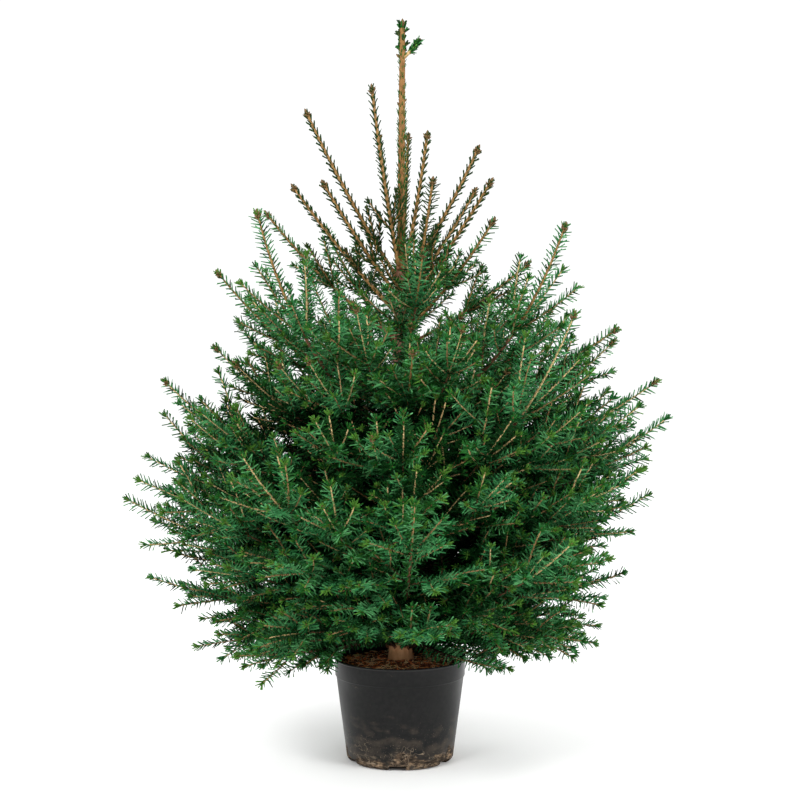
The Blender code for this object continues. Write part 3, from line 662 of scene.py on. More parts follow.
def grow_crown():
    shoots = []
    for whorl, (bend, spread, rows) in enumerate(WHORLS, start=1):
        for number, row in enumerate(rows, start=1):
            chance = random.Random(SEED * 1000 + whorl * 100 + number)
            grow_bough(shoots, row, bend, (spread, 1.0), whorl, chance)
    for whorl, count in enumerate(BETWEEN_BOUGHS, start=1):
        for number in range(count):
            grow_filling(shoots, whorl, number, count)
    for number, (whorl, row) in enumerate(LONE_BOUGHS):
        chance = random.Random(SEED * 4000 + number)
        grow_bough(shoots, row, WHORLS[whorl - 1][0], LONE_LOOK, whorl, chance)
    for number in range(LOW_BOUGHS):
        chance = random.Random(SEED * 3000 + number)
        bearing = 360.0 * number / LOW_BOUGHS + chance.uniform(-8, 8)
        tip = chance.uniform(*LOW_TIP)
        if math.cos(math.radians(bearing)) > FRONT_COSINE:
            tip += FRONT_RISE
        reach = slimmed(crown_reach(tip) * chance.uniform(*LOW_SHARE), bearing)
        row = (chance.uniform(*LOW_ATTACH), bearing, reach, tip, chance.uniform(0.09, 0.12), 0)
        grow_bough(shoots, row, LOW_BEND, LOW_LOOK, len(WHORLS), chance)
    for number in range(SKIRT_BOUGHS):
        chance = random.Random(SEED * 5000 + number)
        share = (number + chance.uniform(0.2, 0.8)) / SKIRT_BOUGHS
        bearing = SKIRT_SIDE + (360.0 - 2 * SKIRT_SIDE) * share
        row = (chance.uniform(*LOW_ATTACH), bearing, chance.uniform(*SKIRT_REACH),
               chance.uniform(*SKIRT_TIP), chance.uniform(0.07, 0.09), 0)
        grow_bough(shoots, row, SKIRT_BEND, SKIRT_LOOK, len(WHORLS), chance)
    return shoots


# Meshes

class Pile:
    """Closed shapes of one kind, joined into pieces that stay under the triangle limit."""

    def __init__(self, name, slot, material):
        self.name = name
        self.slot = slot
        self.material = material
        self.groups = [([], [])]
        self.points = 0
        self.triangles = 0

    def add(self, verts, faces):
        if self.triangles + len(faces) > PIECE_LIMIT:
            self.groups.append(([], []))
            self.points = 0
            self.triangles = 0
        group = self.groups[-1]
        group[0].append(verts)
        group[1].append(faces + self.points)
        self.points += len(verts)
        self.triangles += len(faces)

    def make(self, smooth, stands_for=()):
        """Build the pieces, which ride on the root body."""
        for number, (verts, faces) in enumerate(self.groups, start=1):
            if verts:
                name = self.name if len(self.groups) == 1 else f"{self.name}_{number}"
                item = mesh_object(name, np.concatenate(verts), np.concatenate(faces), smooth)
                dress(item, self.material, self.slot, stands_for)


def add_object(name, data):
    """New object in the scene's collection."""
    item = bpy.data.objects.new(name, data)
    bpy.context.scene.collection.objects.link(item)
    return item


def mesh_object(name, verts, faces, smooth):
    """Object from arrays of points and of triangles."""
    mesh = bpy.data.meshes.new(name)
    mesh.vertices.add(len(verts))
    mesh.vertices.foreach_set("co", np.ascontiguousarray(verts, dtype=np.float32).ravel())
    mesh.loops.add(3 * len(faces))
    mesh.loops.foreach_set("vertex_index", np.ascontiguousarray(faces, dtype=np.int32).ravel())
    mesh.polygons.add(len(faces))
    mesh.polygons.foreach_set("loop_start", np.arange(0, 3 * len(faces), 3, dtype=np.int32))
    mesh.polygons.foreach_set("use_smooth", np.full(len(faces), smooth, dtype=bool))
    mesh.update(calc_edges=True)
    mesh.validate()
    return add_object(name, mesh)


def dress(item, material, slot, stands_for=()):
    """Give a piece its material and body, and hide the nodes that it stands for; the slot is not
    used.
    """
    item.data.materials.clear()
    item.data.materials.append(material)
    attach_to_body(item, "root")
    if stands_for:
        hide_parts(*stands_for)


def tube_faces(rings, sides):
    """Triangles of a closed tube whose points run ring by ring."""
    ring, side = np.meshgrid(np.arange(rings - 1), np.arange(sides), indexing="ij")
    here = (ring * sides + side).ravel()
    after = (ring * sides + (side + 1) % sides).ravel()
    walls = np.concatenate((np.stack((here, after, after + sides), axis=1),
                            np.stack((here, after + sides, here + sides), axis=1)))
    fan = np.arange(1, sides - 1)
    start = np.stack((np.zeros_like(fan), fan + 1, fan), axis=1)
    last = (rings - 1) * sides
    end = np.stack((np.full_like(fan, last), last + fan, last + fan + 1), axis=1)
    return np.concatenate((walls, start, end))


def cross_frames(directions):
    """Two vectors across each direction; the second one is on the upper side."""
    across = units(np.cross(UP, directions))
    return across, np.cross(directions, across)


def turned(first, second, angles):
    """Vectors that are turned from the first ones towards the second ones."""
    return np.cos(angles)[:, None] * first + np.sin(angles)[:, None] * second


def around(axes, angles):
    """Vectors across some axes, turned round them from their upper side."""
    across, upper = cross_frames(axes)
    return turned(upper, across, angles)


def tube(places, directions, radii, sides, turn=0.0):
    """Points and triangles of a round tube through some places."""
    across, upper = cross_frames(directions)
    angles = 2 * np.pi * np.arange(sides) / sides + turn
    ring = np.cos(angles)[None, :, None] * across[:, None, :] \
        + np.sin(angles)[None, :, None] * upper[:, None, :]
    verts = places[:, None, :] + ring * np.asarray(radii)[:, None, None]
    return verts.reshape(-1, 3), tube_faces(len(places), sides)


def bud(place, direction, length, width, sides=6, shape=BUD_SHAPE):
    """Points and triangles of a pointed bud."""
    shares, sizes = zip(*shape)
    places = place + np.outer(shares, direction) * length
    return tube(places, np.tile(direction, (len(shares), 1)), np.array(sizes) * width / 2, sides)


def tiny_bud(place, direction, length, width):
    """Points and triangles of a small bud with eight faces."""
    across, upper = cross_frames(direction[None, :])
    middle = place + direction * length * 0.4
    ring = [middle + width / 2 * cross for cross in (across[0], upper[0], -across[0], -upper[0])]
    verts = np.array([place] + ring + [place + direction * length])
    faces = [(0, 1 + (side + 1) % 4, 1 + side) for side in range(4)]
    faces += [(5, 1 + side, 1 + (side + 1) % 4) for side in range(4)]
    return verts, np.array(faces)


class NeedlePile(Pile):
    """Needles of one colour: each is a slim four-faced blade."""
    FACES = np.array(((0, 1, 2), (0, 2, 3), (0, 3, 1), (1, 3, 2)))

    def grow(self, roots, directions, across, lengths, widths):
        other = np.cross(directions, across)
        tips = roots + directions * lengths[:, None]
        half = (0.5 * widths)[:, None]
        foot, tip = across * half, other * half * NEEDLE_TIP
        verts = np.stack((roots - foot, roots + foot, tips - tip, tips + tip), axis=1)
        count = len(roots)
        faces = self.FACES[None, :, :] + 4 * np.arange(count)[:, None, None]
        self.add(verts.reshape(-1, 3), faces.reshape(-1, 3))


def plant_needles(piles, kinds, roots, directions, lengths, widths, draw):
    """Sort needles into the piles of their colours; they may share one colour and width."""
    kinds = np.broadcast_to(kinds, len(roots))
    widths = np.broadcast_to(widths, len(roots))
    spin = units(draw.normal(size=directions.shape))
    across = units(np.cross(directions, spin))
    for kind, pile in piles.items():
        mine = kinds == kind
        if mine.any():
            pile.grow(roots[mine], directions[mine], across[mine], lengths[mine], widths[mine])


def shoot_kind(shoot, depth, draw):
    """Colour of a whole spray, by its place in the crown; the deep and shade tones deep inside it
    are painted shade.
    """
    if shoot.whorl == 1:
        return "top"
    depth += draw.uniform(-0.11, 0.11) + (0.05 if shoot.whorl > 5 else 0.0)
    if depth < SHADE_DEPTH:
        return "deep" if depth < DEEP_DEPTH else "shade"
    roll = draw.uniform()
    if shoot.whorl == 2:
        return "top" if roll < 0.35 else "mid"
    return "blue" if roll < (0.45 if shoot.whorl < 5 else 0.62) else "mid"


def needle_spray(piles, shoot):
    """The needles of one shoot: spiral, parted underneath, leaning towards the tip."""
    draw = np.random.default_rng(shoot.seed)
    length = shoot.length
    middle = 0.35 * shoot.green_from + 0.65 * length
    kind = shoot_kind(shoot, depth_of(point_at(shoot.path, middle)[0]), draw)
    size = NEEDLE_LENGTHS[shoot.whorl - 1] * draw.uniform(0.92, 1.06)
    upright = shoot.whorl == 1
    density, width = NEEDLE_DENSITY, NEEDLE_WIDTH
    if kind == "deep":
        density, width = DEEP_DENSITY, DEEP_WIDTH
    elif upright:
        density, width = TOP_DENSITY, TOP_WIDTH
    span = length - shoot.green_from
    count = max(6, int(span * density))
    index = np.arange(count)
    distances = shoot.green_from + span * ((index + draw.uniform(0.2, 0.8, count)) / count)
    places, axes = points_at(shoot.path, distances)
    across, upper = cross_frames(axes)
    roll = math.radians(draw.normal(0.0, NEEDLE_ROLL))
    across, upper = (math.cos(roll) * across + math.sin(roll) * upper,
                     math.cos(roll) * upper - math.sin(roll) * across)
    to_tip = length - distances
    rows = np.array(ROUND_ROWS if upright else NEEDLE_ROWS)
    rise = rows[(index // 2) % len(rows)] + draw.normal(0.0, 3.5, count)
    steep = np.clip((axes[:, 2] - 0.25) / 0.35, 0.0, 1.0)
    rise = (rise - rows.mean() * steep) * (1.0 + 0.5 * steep)
    angles = np.radians(np.where(index % 2 == 0, 1.0, -1.0) * (90.0 - rise))
    radial = turned(upper, across, angles)
    top = np.clip(np.cos(angles), 0.0, 1.0)
    lean_side, lean_top = ROUND_LEANS if upright else (LEAN_SIDE, LEAN_TOP)
    lean = np.radians(lean_side + (lean_top - lean_side) * top + draw.uniform(-4, 4, count))
    lean *= np.clip(0.45 + to_tip / 0.02, 0.45, 1.0)
    directions = units(turned(axes, radial, lean) + NEEDLE_RISE * UP)
    lengths = size * (1.0 - 0.12 * top) * draw.uniform(0.88, 1.06, count)
    lengths *= np.clip(0.75 + (distances - shoot.green_from) / 0.04, 0.75, 1.0)
    lengths *= np.clip(0.76 + to_tip / 0.04, 0.76, 1.0)
    radii = np.interp(distances, (0.0, length), (shoot.foot, shoot.tip))
    roots = places + radial * radii[:, None] * ROOT_DEPTH
    kinds = np.full(count, kind, dtype="<U5")
    # Painted shade and painted highlight: at random, some needles of a spray take the darker
    # shade tone and some the lighter light tone
    if kind in ("mid", "blue", "top"):
        tone = draw.uniform(size=count)
        kinds[tone < SHADE_SHARE] = "shade"
        if kind != "top":
            kinds[tone > 1.0 - LIGHT_SHARE] = "light"
    if kind in ("mid", "blue") and shoot.whorl > 2 and draw.uniform() < FRESH_CHANCE:
        kinds[to_tip < FRESH_LENGTH * draw.uniform(0.2, 1.0, count)] = "fresh"
    plant_needles(piles, kinds, roots, directions, lengths, width, draw)


def tip_tuft(piles, shoot):
    """Needles all round the end bud, seen as a star from the front."""
    draw = np.random.default_rng(shoot.seed + 1)
    place, axis = point_at(shoot.path, shoot.length)
    count = 8 if shoot.order > 2 else 11
    size = NEEDLE_LENGTHS[shoot.whorl - 1] * (0.55 if shoot.whorl < 3 else 0.70)
    axes = np.tile(axis, (count, 1))
    angles = 2 * np.pi * (np.arange(count) + draw.uniform(0, 0.8, count)) / count
    lean = np.radians(draw.uniform(14, 50, count))
    directions = turned(axes, around(axes, angles), lean)
    lengths = size * draw.uniform(0.7, 1.05, count)
    kind = "top" if shoot.whorl < 3 else "fresh"
    if kind == "fresh" and draw.uniform() > FRESH_CHANCE:
        kind = "mid"
    # Painted shade: a tuft deep in the crown takes the near-black deep tone
    if depth_of(place) < DEEP_TUFT:
        kind = "deep"
    roots = place - axes * draw.uniform(0.0, 0.005, count)[:, None]
    plant_needles(piles, kind, roots, directions, lengths, NEEDLE_WIDTH, draw)


def wood_radii(shoot, distances):
    """Radii of a shoot: its older wood tapers faster than its last year's wood."""
    joint = min(shoot.foot, (1.8 if shoot.vigour == 3 else 1.35) * shoot.tip + 0.0003)
    young_from = max(shoot.young_from, 0.001)
    return np.interp(distances, (0.0, young_from, shoot.length),
                     (max(shoot.foot, joint), joint, shoot.tip))


def add_wood(piles, shoot):
    """The wood of a shoot: light on its young end, brown further in, and near-black as painted
    shade on the inner part of a bough and on twigs deep in the crown.
    """
    length = shoot.length
    sides = WOOD_SIDES[shoot.order]
    young = "twig_top" if shoot.whorl + shoot.order < 5 else "twig_young"
    if shoot.whorl > 2 and shoot.order + shoot.seed % 3 > (3 if shoot.whorl < 7 else 1):
        young = "twig_brown"
    inner = 0.0
    # Painted shade: the inner part of a bough is near-black bark
    if shoot.order == 1 and shoot.whorl > 2:
        inner = (0.2 if shoot.vigour == 3 else 0.5) * length
    spans = [(0.0, inner, "limbs_painted_shade"), (inner, shoot.young_from, "limbs"),
             (max(inner, shoot.young_from), length, young)]
    # Painted shade: a twig that ends deep in the crown is near-black bark all along
    if shoot.order > 1 and shoot.whorl > 1 and depth_of(shoot.path[-1]) < DEEP_TUFT:
        spans = [(0.0, length, "limbs_painted_shade")]
    for start, end, kind in spans:
        if end - start < 0.004:
            continue
        if kind == "limbs_painted_shade" and shoot.order > 2:
            sides = 3
        rings = max(3, int(round((end - start) / WOOD_STEPS[shoot.order])) + 1)
        distances = np.linspace(start, end, rings)
        radii = wood_radii(shoot, distances)
        piles[kind].add(*tube(*points_at(shoot.path, distances), radii, sides))
    if shoot.order < 3:
        distances, shares = np.array(FOOT_SWELL).T
        places, directions = points_at(shoot.path, np.clip(distances, 0.0, None))
        places = places + directions * np.minimum(distances, 0.0)[:, None]
        piles["scales"].add(*tube(places, directions, shares * shoot.foot, 4))


def add_buds(piles, shoot):
    """End bud, with side buds round it on the stronger shoots."""
    draw = np.random.default_rng(shoot.seed + 2)
    place, axis = point_at(shoot.path, shoot.length)
    add = piles["buds"].add
    if shoot.vigour == 0:
        add(*tiny_bud(place, axis, *TINY_BUD))
        return
    strong = shoot.vigour > 1 and shoot.whorl < 5
    size = STRONG_BUD_SIZE if strong else SIDE_BUD_SIZE
    if strong:
        add(*bud(place, axis, size, 0.58 * size))
    else:
        add(*bud(place, axis, size, 0.60 * size, 4, SMALL_BUD))
    across, upper = cross_frames(axis[None, :])
    for number in range(STRONG_BUDS if strong else 1):
        angle = math.radians(GOLDEN_ANGLE) * number + draw.uniform(-0.2, 0.2)
        radial = math.cos(angle) * across[0] + math.sin(angle) * upper[0]
        direction = unit(axis + radial * draw.uniform(0.9, 1.8))
        back = 0.0011 * number + draw.uniform(0.0, 0.002)
        root = place - axis * back + radial * shoot.tip * ROOT_DEPTH
        if strong:
            add(*bud(root, direction, 0.80 * size, 0.44 * size, 5, SMALL_BUD))
        else:
            add(*tiny_bud(root, direction, 0.75 * size, 0.46 * size))


# Materials

def set_inputs(tree, node, inputs):
    """Link each input of a node to a socket, or set it to a plain value."""
    for key, value in inputs.items():
        if isinstance(value, bpy.types.NodeSocket):
            tree.links.new(value, node.inputs[key])
        else:
            node.inputs[key].default_value = value


def add_node(tree, kind, output, inputs, operation=None):
    """Add a node and return one of its outputs."""
    node = tree.nodes.new(kind)
    if operation:
        node.operation = operation
    set_inputs(tree, node, inputs)
    return node.outputs[output]


def principled(name):
    """New node material, its node tree and its shader."""
    material = bpy.data.materials.new(name)
    material.use_nodes = True
    tree = material.node_tree
    return material, tree, tree.nodes["Principled BSDF"]


def own_place(tree):
    """Place in the object's own coordinates."""
    return tree.nodes.new("ShaderNodeTexCoord").outputs["Object"]


def add_noise(tree, scale, detail, stretch=(1.0, 1.0, 1.0)):
    """Noise in object space; the stretch scales it along each axis."""
    place = add_node(tree, "ShaderNodeMapping", "Vector",
                     {"Vector": own_place(tree), "Scale": stretch})
    return add_node(tree, "ShaderNodeTexNoise", "Fac",
                    {"Vector": place, "Scale": scale, "Detail": detail})


def add_ramp(tree, source, stops):
    """Colour ramp over a value, with (position, colour) stops."""
    ramp = tree.nodes.new("ShaderNodeValToRGB")
    elements = ramp.color_ramp.elements
    while len(elements) < len(stops):
        elements.new(0.5)
    for element, (position, color) in zip(elements, stops):
        element.position = position
        element.color = (*color, 1.0)
    tree.links.new(source, ramp.inputs["Fac"])
    return ramp.outputs["Color"]


def add_place(tree, axis):
    """One of the object's own coordinates."""
    return add_node(tree, "ShaderNodeSeparateXYZ", axis, {"Vector": own_place(tree)})


def add_radius(tree):
    """Distance from the object's upright axis."""
    level = add_node(tree, "ShaderNodeVectorMath", "Vector",
                     {0: own_place(tree), 1: (1.0, 1.0, 0.0)}, 'MULTIPLY')
    return add_node(tree, "ShaderNodeVectorMath", "Value", {0: level}, 'LENGTH')


def add_range(tree, source, given, wanted):
    """Map a value from one range to another, held at its ends."""
    ends = zip(("From Min", "From Max", "To Min", "To Max"), given + wanted)
    return add_node(tree, "ShaderNodeMapRange", "Result", {"Value": source, **dict(ends)})


def add_math(tree, operation, first, second):
    """Combine a value with another one or with a plain number."""
    return add_node(tree, "ShaderNodeMath", "Value", {0: first, 1: second}, operation)


def add_mix(tree, share, first, second):
    """Blend one colour into another, which may be a plain one."""
    if isinstance(second, tuple):
        second = (*second, 1.0)
    return add_node(tree, "ShaderNodeMixRGB", "Color",
                    {"Fac": share, "Color1": first, "Color2": second})


def add_bump(tree, source, strength):
    """Normal of a fine relief."""
    return add_node(tree, "ShaderNodeBump", "Normal",
                    {"Strength": strength, "Distance": RELIEF, "Height": source})


def varied_material(name, dark, light, scale, roughness, bump=0.0, specular=0.5,
                    stretch=(1.0, 1.0, 1.0)):
    """Material whose colour wanders between two tones, with a fine relief."""
    material, tree, shader = principled(name)
    grain = add_noise(tree, scale, 4.0, stretch)
    set_inputs(tree, shader, {
        "Base Color": add_ramp(tree, grain, ((0.32, dark), (0.68, light))),
        "Roughness": roughness, "Specular IOR Level": specular})
    if bump:
        set_inputs(tree, shader, {"Normal": add_bump(tree, grain, bump)})
    return material


def needle_material(name, color, specular):
    """Waxy needle whose green varies a little from needle to needle."""
    dark, light = (tuple(share * value for value in color) for share in (0.62, 1.40))
    return varied_material(name, dark, light, 150.0, 0.48, specular=specular)


def bark_material():
    """Reddish brown bark, lighter and smoother at the foot of the trunk."""
    material, tree, shader = principled("bark")
    grain = add_noise(tree, 160.0, 4.0, (1.0, 1.0, 0.4))
    upper = add_ramp(tree, grain, ((0.32, (0.080, 0.034, 0.020)), (0.68, (0.235, 0.125, 0.080))))
    foot = add_ramp(tree, grain, ((0.25, (0.520, 0.235, 0.100)), (0.75, (0.800, 0.440, 0.225))))
    height = add_range(tree, add_place(tree, "Z"), (0.225, 0.300), (0.0, 1.0))
    set_inputs(tree, shader, {
        "Base Color": add_mix(tree, height, foot, upper), "Roughness": 0.9,
        "Specular IOR Level": 0.2, "Normal": add_bump(tree, grain, 0.4)})
    return material


def pot_material():
    """Charcoal plastic with a soft sheen and a painted highlight along the top of its lip, dusty
    below, and scraped mud round its foot.
    """
    material, tree, shader = principled("pot_plastic")
    height = add_place(tree, "Z")
    shell = add_range(tree, add_radius(tree), (0.0920, 0.0940), (0.0, 1.0))
    cloud = add_noise(tree, 9.0, 3.0)
    grain = add_noise(tree, 130.0, 6.0)
    plastic = add_ramp(tree, grain, ((0.35, (0.0030, 0.0032, 0.0033)),
                                     (0.75, (0.0085, 0.0083, 0.0080))))

    low = add_range(tree, height, (0.135, 0.0), (-0.26, 0.16))
    dust = add_math(tree, 'ADD', add_noise(tree, 34.0, 12.0, (1.0, 1.0, 1.7)), low)
    dust = add_range(tree, dust, (0.42, 0.68), (0.0, 0.17))
    color = add_mix(tree, dust, plastic, (0.200, 0.150, 0.105))

    zone = add_range(tree, height, (0.072, 0.0), (-0.34, 0.16))
    left = add_range(tree, add_place(tree, "X"), (0.09, -0.09), (-0.02, 0.07))
    zone = add_math(tree, 'ADD', zone, left)
    splash = add_math(tree, 'ADD', add_noise(tree, 30.0, 10.0, (1.0, 1.0, 0.75)), zone)
    mud_mask = add_range(tree, splash, (0.505, 0.575), (0.0, 0.92))
    mud_mask = add_math(tree, 'MULTIPLY', mud_mask, shell)
    mud = add_ramp(tree, add_noise(tree, 75.0, 8.0, (1.0, 1.0, 2.4)),
                   ((0.36, (0.012, 0.008, 0.005)), (0.53, (0.055, 0.038, 0.025)),
                    (0.68, (0.280, 0.185, 0.110))))
    color = add_mix(tree, mud_mask, color, mud)

    lines = add_math(tree, 'SUBTRACT', add_noise(tree, 46.0, 2.0), 0.5)
    lines = add_math(tree, 'ABSOLUTE', lines, 0.0)
    lines = add_range(tree, lines, (0.0, 0.0110), (1.0, 0.0))
    near = add_math(tree, 'ADD', add_noise(tree, 21.0, 4.0), zone)
    near = add_range(tree, near, (0.40, 0.54), (0.0, 0.70))
    streaks = add_noise(tree, 260.0, 3.0, (0.22, 0.22, 0.8))
    streaks = add_range(tree, streaks, (0.60, 0.74), (0.0, 0.8))
    lines = add_math(tree, 'MAXIMUM', add_math(tree, 'MULTIPLY', lines, 0.80), streaks)
    scrapes = add_math(tree, 'MULTIPLY', lines, near)
    specks = add_range(tree, add_noise(tree, 420.0, 1.0), (0.70, 0.76), (0.0, 0.5))
    specks = add_math(tree, 'MULTIPLY', specks, add_range(tree, height, (0.11, 0.02), (0.0, 1.0)))
    marks = add_math(tree, 'MULTIPLY', add_math(tree, 'MAXIMUM', scrapes, specks), shell)
    color = add_mix(tree, marks, color, (0.400, 0.300, 0.205))
    # Painted highlight: a lighter grey along the top of the lip
    painted_lip_highlight = add_range(tree, height, (0.1985, 0.2005), (0.0, 1.0))

    rough = add_math(tree, 'ADD', add_range(tree, mud_mask, (0.0, 1.0), (0.30, 0.80)),
                     add_range(tree, cloud, (0.35, 0.65), (0.0, 0.14)))
    set_inputs(tree, shader, {
        "Base Color": add_mix(tree, painted_lip_highlight, color, (0.024, 0.024, 0.024)), "Roughness": rough,
        "Specular IOR Level": 0.20, "Normal": add_bump(tree, splash, 0.12)})
    return material


def make_materials():
    made = {kind: needle_material(f"needle_{kind}", *tone) for kind, tone in NEEDLE_TONES.items()}
    made |= {kind: varied_material(*tone) for kind, tone in TONES.items()}
    made["bark"] = bark_material()
    made["pot"] = pot_material()
    return made


# Pot and compost

def lathe(name, profile, sides):
    """Turn a profile of radius and height pairs round the Z axis into a closed solid."""
    shape = bmesh.new()
    verts = [shape.verts.new((radius, 0.0, height)) for radius, height in profile]
    edges = [shape.edges.new(pair) for pair in zip(verts, verts[1:])]
    bmesh.ops.spin(shape, geom=verts + edges, axis=(0, 0, 1), cent=(0, 0, 0),
                   angle=2 * math.pi, steps=sides, use_duplicate=False)
    bmesh.ops.remove_doubles(shape, verts=shape.verts, dist=1e-6)
    bmesh.ops.recalc_face_normals(shape, faces=shape.faces)
    mesh = bpy.data.meshes.new(name)
    shape.to_mesh(mesh)
    shape.free()
    return add_object(name, mesh)


def pot_profile():
    """Outline of the pot's wall from the middle of its underside to the middle of its floor."""
    shoulder = COLLAR_RADIUS - COLLAR_STEP
    wall_top = COLLAR_BOTTOM - 0.0012
    points = [(0.0, 0.0), (FOOT_RADIUS, 0.0)]
    for step in range(1, 6):
        angle = math.radians(15 * step)
        points.append((FOOT_RADIUS + (CORNER_RADIUS - FOOT_RADIUS) * math.sin(angle),
                       CORNER_HEIGHT * (1.0 - math.cos(angle))))
    for share in (0.0, 0.25, 0.5, 0.75, 1.0):
        points.append((CORNER_RADIUS + (shoulder - CORNER_RADIUS) * share,
                       CORNER_HEIGHT + (wall_top - CORNER_HEIGHT) * share))
    points += [(shoulder + 0.0004, COLLAR_BOTTOM - 0.0006),
               (COLLAR_RADIUS - 0.0004, COLLAR_BOTTOM + 0.0004),
               (COLLAR_RADIUS, COLLAR_BOTTOM + 0.0010),
               (RIM_RADIUS - 1.1 * LIP_RADIUS, POT_HEIGHT - LIP_HEIGHT - 0.0004)]
    for step in range(8):
        angle = math.radians(-60 + 150 * step / 7)
        points.append((RIM_RADIUS - LIP_RADIUS + LIP_RADIUS * math.cos(angle),
                       POT_HEIGHT - LIP_RADIUS - 0.0006 + LIP_RADIUS * math.sin(angle)))
    return points + [
        (MOUTH_RADIUS + 0.0010, POT_HEIGHT), (MOUTH_RADIUS, POT_HEIGHT - 0.0008),
        (shoulder - WALL, COLLAR_BOTTOM), (CORNER_RADIUS - WALL, LEDGE_HEIGHT),
        (LEDGE_RADIUS + 0.001, LEDGE_HEIGHT), (LEDGE_RADIUS - 0.001, FLOOR), (0.0, FLOOR)]


def add_notch_cutter(bearing):
    """Rounded block that cuts one notch; bearing in radians."""
    bpy.ops.mesh.primitive_cube_add(size=1.0)
    cutter = bpy.context.active_object
    cutter.scale = (NOTCH_WIDTH, 2 * NOTCH_DEPTH, 2 * NOTCH_HEIGHT)
    bpy.ops.object.transform_apply(location=False, rotation=False, scale=True)
    corners = cutter.modifiers.new("round", 'BEVEL')
    corners.width = NOTCH_ROUND
    corners.segments = 3
    cutter.rotation_euler = (0.0, 0.0, bearing)
    cutter.location = (CORNER_RADIUS * math.sin(bearing), -CORNER_RADIUS * math.cos(bearing), 0.0)
    for owner in list(cutter.users_collection):
        owner.objects.unlink(cutter)
    return cutter


def make_pot(material):
    """Thin-walled pot with a stepped collar, a rolled lip and notches round its foot."""
    pot = lathe("pot_shell", pot_profile(), POT_SIDES)
    cutters = bpy.data.collections.new("notch_cutters")
    bpy.context.scene.collection.children.link(cutters)
    for number in range(NOTCHES):
        bearing = math.radians(NOTCH_BEARING + 360.0 * number / NOTCHES)
        cutters.objects.link(add_notch_cutter(bearing))
    cut = pot.modifiers.new("notches", 'BOOLEAN')
    cut.operation = 'DIFFERENCE'
    cut.solver = 'EXACT'
    cut.operand_type = 'COLLECTION'
    cut.collection = cutters
    evaluated = pot.evaluated_get(bpy.context.evaluated_depsgraph_get())
    mesh = bpy.data.meshes.new_from_object(evaluated)
    pot.modifiers.clear()
    pot.data = mesh
    for item in list(cutters.objects):
        bpy.data.objects.remove(item, do_unlink=True)
    bpy.data.collections.remove(cutters)
    pot.data.shade_smooth()
    pot.data.set_sharp_from_angle(angle=math.radians(35))
    dress(pot, material, "pot_plastic", ("pot",))


def compost_height(x, y):
    """Surface of the compost, with lumps and small grains."""
    heights = np.interp(math.hypot(x, y), *zip(*COMPOST_SURFACE))
    lumps = noise.fractal((x * 60, y * 60, 3.0), 0.8, 2.0, 4)
    grains = noise.noise((x * 420, y * 420, 9.0))
    return float(heights) + 0.0022 * lumps + 0.0007 * grains


def make_compost(material):
    """Rough surface of the compost, closed below by a flat base."""
    rings, sides = COMPOST_RINGS, COMPOST_SIDES
    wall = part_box("compost")[1][0] - COMPOST_GAP
    verts = [(0.0, 0.0, compost_height(0.0, 0.0))]
    for ring in range(1, rings + 1):
        radius = wall * ring / rings
        for side in range(sides):
            angle = 2 * math.pi * (side + 0.5 * (ring % 2)) / sides
            x, y = radius * math.cos(angle), radius * math.sin(angle)
            verts.append((x, y, compost_height(x, y)))
    outer = 1 + (rings - 1) * sides
    verts += [(x, y, COMPOST_BOTTOM) for x, y, _ in verts[outer:]]
    verts.append((0.0, 0.0, COMPOST_BOTTOM))
    faces = []
    for side in range(sides):
        after = (side + 1) % sides
        faces.append((0, 1 + side, 1 + after))
        for ring in range(rings):
            low = 1 + ring * sides
            faces.append((low + side, low + sides + side, low + sides + after))
            faces.append((low + side, low + sides + after, low + after))
        base = 1 + rings * sides
        faces.append((len(verts) - 1, base + after, base + side))
    item = mesh_object("compost_surface", np.array(verts), np.array(faces), True)
    dress(item, material, "compost", ("compost",))


def litter_places(count, reach, gap, draw):
    """Level places on the compost that keep a gap to the trunk."""
    for _ in range(count):
        radius = reach * math.sqrt(draw.random())
        if radius >= trunk_radius(TRUNK_FOOT) + gap:
            angle = draw.uniform(0, 2 * math.pi)
            yield radius * math.cos(angle), radius * math.sin(angle)


def scatter_chips(piles, draw):
    """Bark chips and crumbs that lie on the compost."""
    for x, y in litter_places(CHIPS, CHIP_REACH, CHIP_GAP, draw):
        turn = draw.uniform(0, 2 * math.pi)
        tilt = draw.uniform(-0.35, 0.35)
        axis = np.array((math.cos(turn) * math.cos(tilt), math.sin(turn) * math.cos(tilt),
                         math.sin(tilt)))
        length = draw.uniform(0.004, 0.013)
        width = length * draw.uniform(0.16, 0.42)
        centre = np.array((x, y, compost_height(x, y) + draw.uniform(0.0, 0.0012)))
        places = centre + np.outer((-0.5, -0.2, 0.25, 0.5), axis) * length
        radii = width * np.array((0.25, 0.5, 0.42, 0.12))
        kind = draw.choices(tuple(LITTER_SHARES), tuple(LITTER_SHARES.values()))[0]
        piles[kind].add(*tube(places, np.tile(axis, (4, 1)), radii, 4, draw.uniform(0, 3)))


def scatter_fibres(piles, draw):
    """Curled fibres that lie on the compost."""
    for x, y in litter_places(FIBRES, FIBRE_REACH, FIBRE_GAP, draw):
        turn = draw.uniform(0, 2 * math.pi)
        curl = math.radians(draw.uniform(-90, 90)) / 4
        places = []
        while len(places) < 7 and math.hypot(x, y) <= CHIP_REACH:
            wave = 0.0012 * math.sin(len(places))
            places.append((x, y, compost_height(x, y) + 0.0012 + wave))
            x += FIBRE_STEP * math.cos(turn)
            y += FIBRE_STEP * math.sin(turn)
            turn += curl
        if len(places) > 3:
            directions = units(np.gradient(np.array(places), axis=0))
            radii = np.full(len(places), draw.uniform(0.0004, 0.0008))
            piles["litter_tan"].add(*tube(np.array(places), directions, radii, 4))


# Trunk and leader

